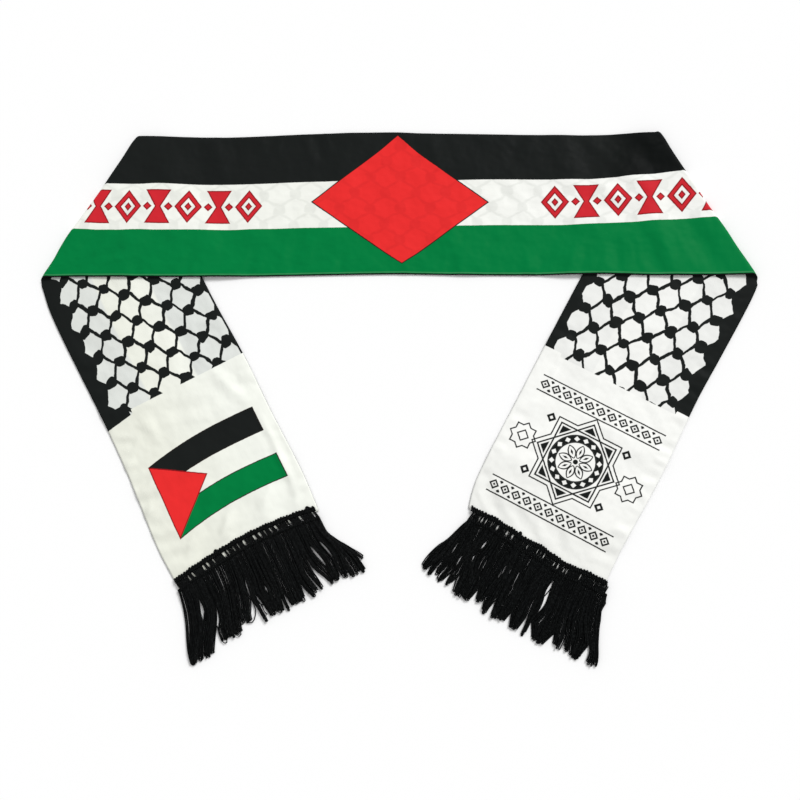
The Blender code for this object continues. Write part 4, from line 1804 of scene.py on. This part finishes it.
@dataclass
class Studio:
    """A plain pale floor, soft light and the camera above the scarf."""

    focal: float = 45.0
    sensor: float = 36.0
    tilt: float = 11.456
    yaw: float = 3.351
    roll: float = 0.304
    distance: float = 0.8929
    target: tuple = (0.0103, -0.0138, 0.0)
    floor_size: float = 6.0
    floor_colour: tuple = (0.965, 0.965, 0.965)
    sky: float = 0.565
    lamp_from: tuple = (0.62, 0.80, 1.0)
    lamp_strength: float = 2.10
    lamp_softness: float = 24.0

    def build(self) -> None:
        """Make the floor, the sky, the lamp and the camera."""
        self.floor()
        self.sky_light()
        self.lamp()
        self.camera()
        bpy.context.scene.view_settings.view_transform = "Standard"

    def floor(self) -> None:
        """A pale floor under the scarf."""
        bm = bmesh.new()
        bmesh.ops.create_grid(bm, x_segments=2, y_segments=2, size=self.floor_size / 2)
        material, _, surface = new_material("pale_floor")
        surface.inputs["Base Color"].default_value = (*self.floor_colour, 1.0)
        surface.inputs["Roughness"].default_value = 0.9
        surface.inputs["Specular IOR Level"].default_value = 0.0
        floor = add_object("floor", finished_mesh("floor", bm, material, smooth=False))
        floor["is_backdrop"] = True

    def sky_light(self) -> None:
        """Even light from all round."""
        world = bpy.data.worlds.new("studio")
        world.use_nodes = True
        background = world.node_tree.nodes["Background"]
        background.inputs["Color"].default_value = (1.0, 1.0, 1.0, 1.0)
        background.inputs["Strength"].default_value = self.sky
        bpy.context.scene.world = world

    def lamp(self) -> None:
        """One broad soft light from beyond the scarf's black edge, which models its creases."""
        light = bpy.data.lights.new("soft_lamp", "SUN")
        light.energy, light.angle = self.lamp_strength, math.radians(self.lamp_softness)
        lamp = add_object("soft_lamp", light)
        lamp.location = self.lamp_from
        lamp.rotation_euler = Vector(self.lamp_from).to_track_quat("Z", "Y").to_euler()

    def camera(self) -> None:
        """The camera, at the photographed angle."""
        data = bpy.data.cameras.new("camera")
        data.lens, data.sensor_width = self.focal, self.sensor
        data.clip_start, data.clip_end = 0.05, 20.0
        camera = add_object("camera", data)
        turn = (
            Matrix.Rotation(math.radians(self.roll), 4, "Z")
            @ Matrix.Rotation(math.radians(self.tilt), 4, "X")
            @ Matrix.Rotation(math.radians(self.yaw), 4, "Y")
        )
        camera.matrix_world = Matrix.Translation(Vector(self.target)) @ turn @ Matrix.Translation((0, 0, self.distance))
        bpy.context.scene.camera = camera


LEFT_FRINGE = FringeSizes(
    seed=11,
    ends=(0.0000, 0.1368),
    slopes=(0.05, 0.02),
    upper_across=(0.000, 0.020, 0.040, 0.060, 0.080, 0.100, 0.115, 0.125, 0.136),
    upper_places=(0.3132, 0.3102, 0.3082, 0.3066, 0.3063, 0.3076, 0.3091, 0.3106, 0.3126),
    rung_pitch=0.00088,
    lean=0.00036,
    slits=(
        (0.0130, 0.0012), (0.0175, 0.0014), (0.0283, 0.0018), (0.0326, 0.0017), (0.0384, 0.0010), (0.0490, 0.0024),
        (0.0528, 0.0009), (0.0585, 0.0010), (0.0630, 0.0007), (0.0690, 0.0021), (0.0790, 0.0022), (0.0842, 0.0017),
        (0.0890, 0.0009), (0.0942, 0.0014), (0.0995, 0.0018), (0.1095, 0.0007), (0.1122, 0.0017), (0.1222, 0.0019),
        (0.1338, 0.0011),
    ),
    knots=((0.0430, 0.0026, 0.0022), (0.1310, 0.0030, 0.0026)),
    clumps=(
        Clump((
            (326, -0.5, 12.5), (336, -2, 12.7), (341, -3, 11.8), (350, -5.4, 9.2), (358, -8.3, 7.2), (367, -12, 0.6),
            (376, -14.9, -7), (386, -16.3, -12.8),
        )),
        Clump((
            (326, 12.5, 23), (336, 12.9, 23), (341, 13.2, 22.8), (350, 12.9, 22.3), (358, 7.6, 19.8), (367, 0.8, 15),
            (376, -6.2, 9.3), (386.5, -10.6, 3.4),
        )),
        Clump((
            (326, 23, 46), (336, 23.3, 45.2), (341, 24, 44), (347, 23.8, 42.4), (352, 23.5, 40.8), (359, 22.2, 38.4),
            (365, 19.8, 37), (370, 16.4, 35.8), (381, 16, 33.5),
        )),
        Clump((
            (326, 46, 49), (341, 44.2, 47.6), (347, 43.9, 46.2), (356, 41.7, 43.3), (364, 39.4, 40.9), (374, 37.4, 39),
        ), loose=0.5),
        Clump((
            (326, 49, 56), (340, 48, 54.6), (345, 47, 53.4), (352, 45.4, 52.4), (358, 45.2, 51.6), (364, 43, 50),
            (370, 41.4, 46.5), (376, 41.6, 45),
        ), loose=0.6),
        Clump((
            (326, 56, 60), (337, 55.6, 59.6), (345, 55.9, 59), (355, 54.5, 57.8), (361, 54.2, 57), (368, 55.4, 56.6),
            (384, 57, 57.6),
        )),
        Clump((
            (326, 60, 69.6), (345, 59.2, 69), (350, 58.8, 68.4), (358, 58.8, 66.7), (363, 60, 67.6), (370, 61.2, 68.4),
            (380, 62.6, 68.6),
        )),
        Clump((
            (326, 69.6, 78), (345, 69.2, 78.5), (350, 68.8, 78.6), (358, 70, 78.4), (363, 69, 77.8), (370, 68.4, 76),
            (381, 69, 74),
        )),
        Clump(((326, 78, 81), (350, 78.6, 81), (363, 78, 80), (372, 77.8, 79), (383, 78.2, 78.8))),
        Clump(((326, 81, 90), (350, 81, 90), (363, 80.4, 89.2), (372, 81.4, 88.2), (381, 83, 88.2)), loose=0.5),
        Clump((
            (326, 90, 98), (343, 90, 96.8), (350, 90, 96.8), (360, 89.6, 96.9), (370, 90, 96.2), (381, 90, 95),
        ), loose=0.5),
        Clump((
            (326, 98, 103), (343, 97, 102.2), (350, 96.9, 101.9), (362, 97, 101.1), (372, 98.2, 102), (382, 101.6, 105),
        )),
        Clump((
            (326, 103, 106.6), (345, 102.4, 106.5), (355, 102, 105.1), (362, 101.9, 105), (370, 103.6, 106.8),
            (381, 106, 109),
        )),
        Clump((
            (326, 106.6, 111), (341, 106.8, 110.9), (346, 106.8, 110.2), (355, 106.9, 110.8), (362, 107.2, 111.1),
            (370, 109, 112.2), (380, 111.6, 112.6),
        )),
        Clump((
            (326, 111, 118), (340, 111, 118), (346, 110.8, 117.9), (353, 111.3, 119.3), (360, 112.2, 121.2),
            (366, 114.8, 123), (372, 118, 124.4), (380, 121.4, 123),
        ), loose=0.6),
        Clump((
            (326, 118, 127), (338, 118.2, 127), (345, 120.3, 127.4), (352, 122.3, 129.2), (360, 124, 131),
            (366, 123.6, 131), (379.5, 125, 129.4),
        )),
        Clump((
            (326, 127, 131), (338, 127.2, 133), (343, 129.1, 134.6), (348, 131.3, 136.4), (355, 132.8, 137.8),
            (361, 133, 138.4), (367, 132, 138), (380, 132.4, 136.6),
        )),
        Clump((
            (326, 131, 136), (338, 133.2, 136.6), (350, 136.6, 141.4), (360, 138.2, 146.8), (370, 138.2, 150.8),
            (383, 139.6, 152.4),
        ), loose=0.5),
        Clump((
            (326, 136, 136.8), (338, 136.4, 137.1), (345, 139.2, 140.2), (350, 141.4, 142.7), (355, 144.2, 146),
            (360, 147, 148.8), (366, 150.8, 152.6), (375, 156, 157.2),
        )),
    ),
    strays=(
        (
            (345, 50.5), (355, 52.5), (363, 53.4), (369, 52.7), (373, 50.8), (376, 48.2), (377.3, 45.6), (376.6, 43.0),
            (374, 41.4), (370.5, 42.3), (366, 44.5), (358, 47.5),
        ),
        ((366, 17.2), (373, 15.7), (379, 15.3), (382.2, 16.7), (382.6, 18.6), (379.8, 20.1), (373, 20.6)),
        ((368, 30), (376, 28.0), (380, 28.2), (382.8, 30.2), (382, 32.6), (378, 33.3), (370, 31.4)),
        ((350, 50.5), (358, 53.5), (364, 56.2), (367.4, 59.2), (369, 63)),
        ((352, 46.4), (360, 43.6), (363.5, 42.2), (368, 41.8), (372, 41.2)),
        ((362, 57.6), (368, 58.9), (374, 58.8), (377.5, 59.8)),
        ((356, 113), (364, 114.8), (370, 117.2), (376.5, 121)),
    ),
)
RIGHT_FRINGE = FringeSizes(
    seed=29,
    ends=(0.0006, 0.1316),
    slopes=(-0.42, -0.34),
    upper_across=(0.000, 0.010, 0.020, 0.035, 0.050, 0.065, 0.078, 0.090, 0.105, 0.110, 0.120, 0.131),
    upper_places=(0.3068, 0.3066, 0.3070, 0.3090, 0.3078, 0.3058, 0.3066, 0.3048, 0.3038, 0.3030, 0.3042, 0.3040),
    rung_pitch=0.00098,
    lean=0.00008,
    slits=(
        (0.0095, 0.0004), (0.0225, 0.0006), (0.0345, 0.0006), (0.0372, 0.0008), (0.0430, 0.0009), (0.0468, 0.0007),
        (0.0575, 0.0006), (0.0640, 0.0004), (0.0735, 0.0008), (0.0885, 0.0013), (0.0940, 0.0015), (0.1035, 0.0013),
        (0.1090, 0.0004), (0.1145, 0.0007), (0.1180, 0.0012), (0.1204, 0.0006),
    ),
    knots=((0.0838, 0.0024, 0.0026),),
    clumps=(
        Clump((
            (315, -3.2, 8), (320, -4.6, 8), (325, -6, 7.6), (330, -5.5, 6), (338, -8.5, 4), (345, -10.7, 2),
            (353, -14, -2.8), (360, -17, -9), (366, -19.6, -12.8), (375.5, -22.8, -13.8),
        )),
        Clump((
            (317, 7.6, 12), (330, 6, 11.8), (335, 4.8, 11.4), (339, 3.7, 10.2), (344, 2.4, 10), (349, -0.4, 9.4),
            (356, -4.8, 7), (361, -8.4, 6), (367, -7.4, 4.6), (377, -5.6, 0.6),
        )),
        Clump((
            (317, 12, 18), (334, 11.6, 17.4), (339, 12, 17.2), (344, 11.7, 16.8), (350, 10.4, 15.6), (360, 6.2, 12.8),
            (367, 4.6, 9.4), (375.5, 4, 8),
        ), loose=0.5),
        Clump((
            (317, 18, 24), (326, 17.8, 23.6), (332, 17.4, 22.9), (345, 16.8, 22.7), (352, 15.8, 22.3),
            (359, 13.4, 21.5), (366, 11.6, 20.4), (376.5, 11.8, 17),
        ), loose=0.5),
        Clump((
            (317, 24, 40), (326, 23.8, 40.2), (332, 24.1, 39.6), (340, 24, 38.2), (349, 23.6, 37.3), (356, 22.4, 38.6),
            (361, 21.6, 40.2), (366, 21.2, 41.6), (370, 22.6, 39.6), (380, 26.8, 34.8),
        )),
        Clump((
            (317, 40, 49), (325, 40.8, 48.6), (332, 42.6, 48.2), (340, 43, 48), (346, 41.6, 47.8), (352, 40.9, 47.4),
            (358, 41.2, 47.2), (363, 42.2, 46.7), (368, 42.8, 45.6), (374, 42.8, 44.6), (381, 43.2, 44.4),
        )),
        Clump((
            (317, 49, 58), (330, 48.6, 59), (345, 48, 59.7), (352, 48.7, 60), (358, 48.5, 60.5), (366, 47.5, 60),
            (373, 48.6, 58.4), (380.5, 50.4, 56),
        )),
        Clump((
            (317, 58, 69), (330, 59, 69), (336, 59.2, 68.3), (354, 60.4, 68.3), (359, 60.6, 69), (366, 60.4, 69),
            (372, 61.4, 69), (378.5, 63, 69),
        )),
        Clump((
            (317, 69, 77), (330, 69.2, 77), (336, 70.4, 75.7), (341, 70.4, 75.9), (346, 70.4, 77), (354, 70.3, 77),
            (360, 69.6, 77), (366, 69.6, 76), (380, 71, 74),
        )),
        Clump((
            (317, 77, 82), (331, 77.2, 82), (336, 77.6, 80.9), (344, 77.7, 81.1), (349, 77.2, 82.8), (356, 77.2, 84.4),
            (366, 77.2, 85.4), (372, 79, 84.6), (380, 79.8, 82.6),
        )),
        Clump((
            (317, 82, 93), (331, 82, 93), (336, 82.8, 93), (344, 83, 93), (349, 83, 93.2), (356, 84.6, 93.6),
            (363, 85.5, 92.8), (374, 87.6, 91.2),
        ), loose=0.5),
        Clump((
            (317, 93, 105), (323, 93, 105.4), (327, 93.2, 105.5), (332, 93.4, 106.3), (336, 93.4, 108.4),
            (340, 93.4, 108.8), (345, 93.4, 109), (350, 93.6, 107.4), (356, 94, 104), (366, 94.8, 103), (377, 97, 103),
        ), loose=0.5),
        Clump((
            (317, 105, 113), (323, 105.6, 113.4), (327, 107.8, 113.8), (332, 108.2, 114.2), (336, 108.6, 114.6),
            (340, 110.8, 115), (345, 111.1, 115), (350, 107.8, 114.6), (356, 104, 114), (366, 103, 113.2),
            (378, 104.6, 111),
        ), loose=0.5),
        Clump((
            (317, 113, 119), (342, 114.8, 118.9), (347, 115, 118.1), (354, 114.4, 118.7), (359, 114, 119.8),
            (363, 114.4, 119.8), (367, 116.2, 120.2), (374, 118.8, 120),
        )),
        Clump((
            (317, 119, 124), (342, 119, 124.8), (347, 120, 125), (354, 120.2, 125.4), (363, 120.6, 127),
            (367, 122.2, 128.2), (374.5, 125.4, 128.6),
        )),
        Clump((
            (317, 124, 126), (335, 124.8, 128.6), (345, 125.4, 130), (350, 126.3, 130.2), (356, 126.8, 130.2),
            (362, 127.8, 130.9), (370, 130.8, 133.4),
        )),
        Clump((
            (317, 126, 127), (335, 128.6, 131), (345, 130, 132.8), (352, 130.2, 134), (356, 131.5, 134.4),
            (362, 133, 136.4), (366, 133.8, 137.6), (374.5, 136.2, 137.6),
        )),
        Clump((
            (317, 127, 128.6), (322, 128.8, 130.8), (330, 131, 133.4), (340, 132.6, 136.6), (347, 133, 140.4),
            (353, 134, 142.6), (361, 137.2, 144.6), (371, 140.6, 145.4),
        )),
    ),
    strays=(
        ((316, 41), (326, 39.6), (334, 39.6), (340, 40.8), (346, 42.6), (352, 43.4)),
        ((316, 1.6), (319, -3.4), (324, -6.2), (329, -5.8), (336, -6)),
        ((316, 3.4), (321, -2.6), (326, -4.2), (333, -4.4), (340, -6)),
    ),
)


def main() -> None:
    cad_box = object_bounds()
    left, right = Fold(LEFT_FOLD), Fold(RIGHT_FOLD)
    form = ScarfForm((left, right))
    inks, weave, net = Inks(), satin_group(WeaveSizes()), net_group(NetSizes())
    yarn = YarnFinish(inks).make()

    for name, fold, sizes in (("left_fringe_trim", left, LEFT_FRINGE), ("right_fringe_trim", right, RIGHT_FRINGE)):
        fringe = Fringe(name, fold, sizes, yarn).build()
        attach(fringe, "root")
        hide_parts(name.replace("_trim", ""))
        LOG.info("%s: %d faces", fringe.name, len(fringe.data.polygons))

    striped = ClothPly("striped_ply", Ply.STRIPED, form, StripedSatin(inks, weave, net).make()).build()
    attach(striped, "root")
    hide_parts("centre_striped_panel", "left_tail_striped_panel", "right_tail_striped_panel")
    netted = ClothPly("net_ply", Ply.NET, form, NetSatin(inks, weave, net).make()).build()
    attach(netted, "root")
    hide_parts("centre_net_panel", "left_tail_net_panel", "right_tail_net_panel")
    for ply in (striped, netted):
        LOG.info("%s: %d faces before its wall", ply.name, len(ply.data.polygons))

    Studio().build()
    sizes = {"cad": [list(corner) for corner in cad_box], "visual": [list(corner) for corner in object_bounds()]}


if __name__ == "__main__":
    logging.basicConfig(level=logging.INFO, format="%(name)s: %(message)s")
    main()
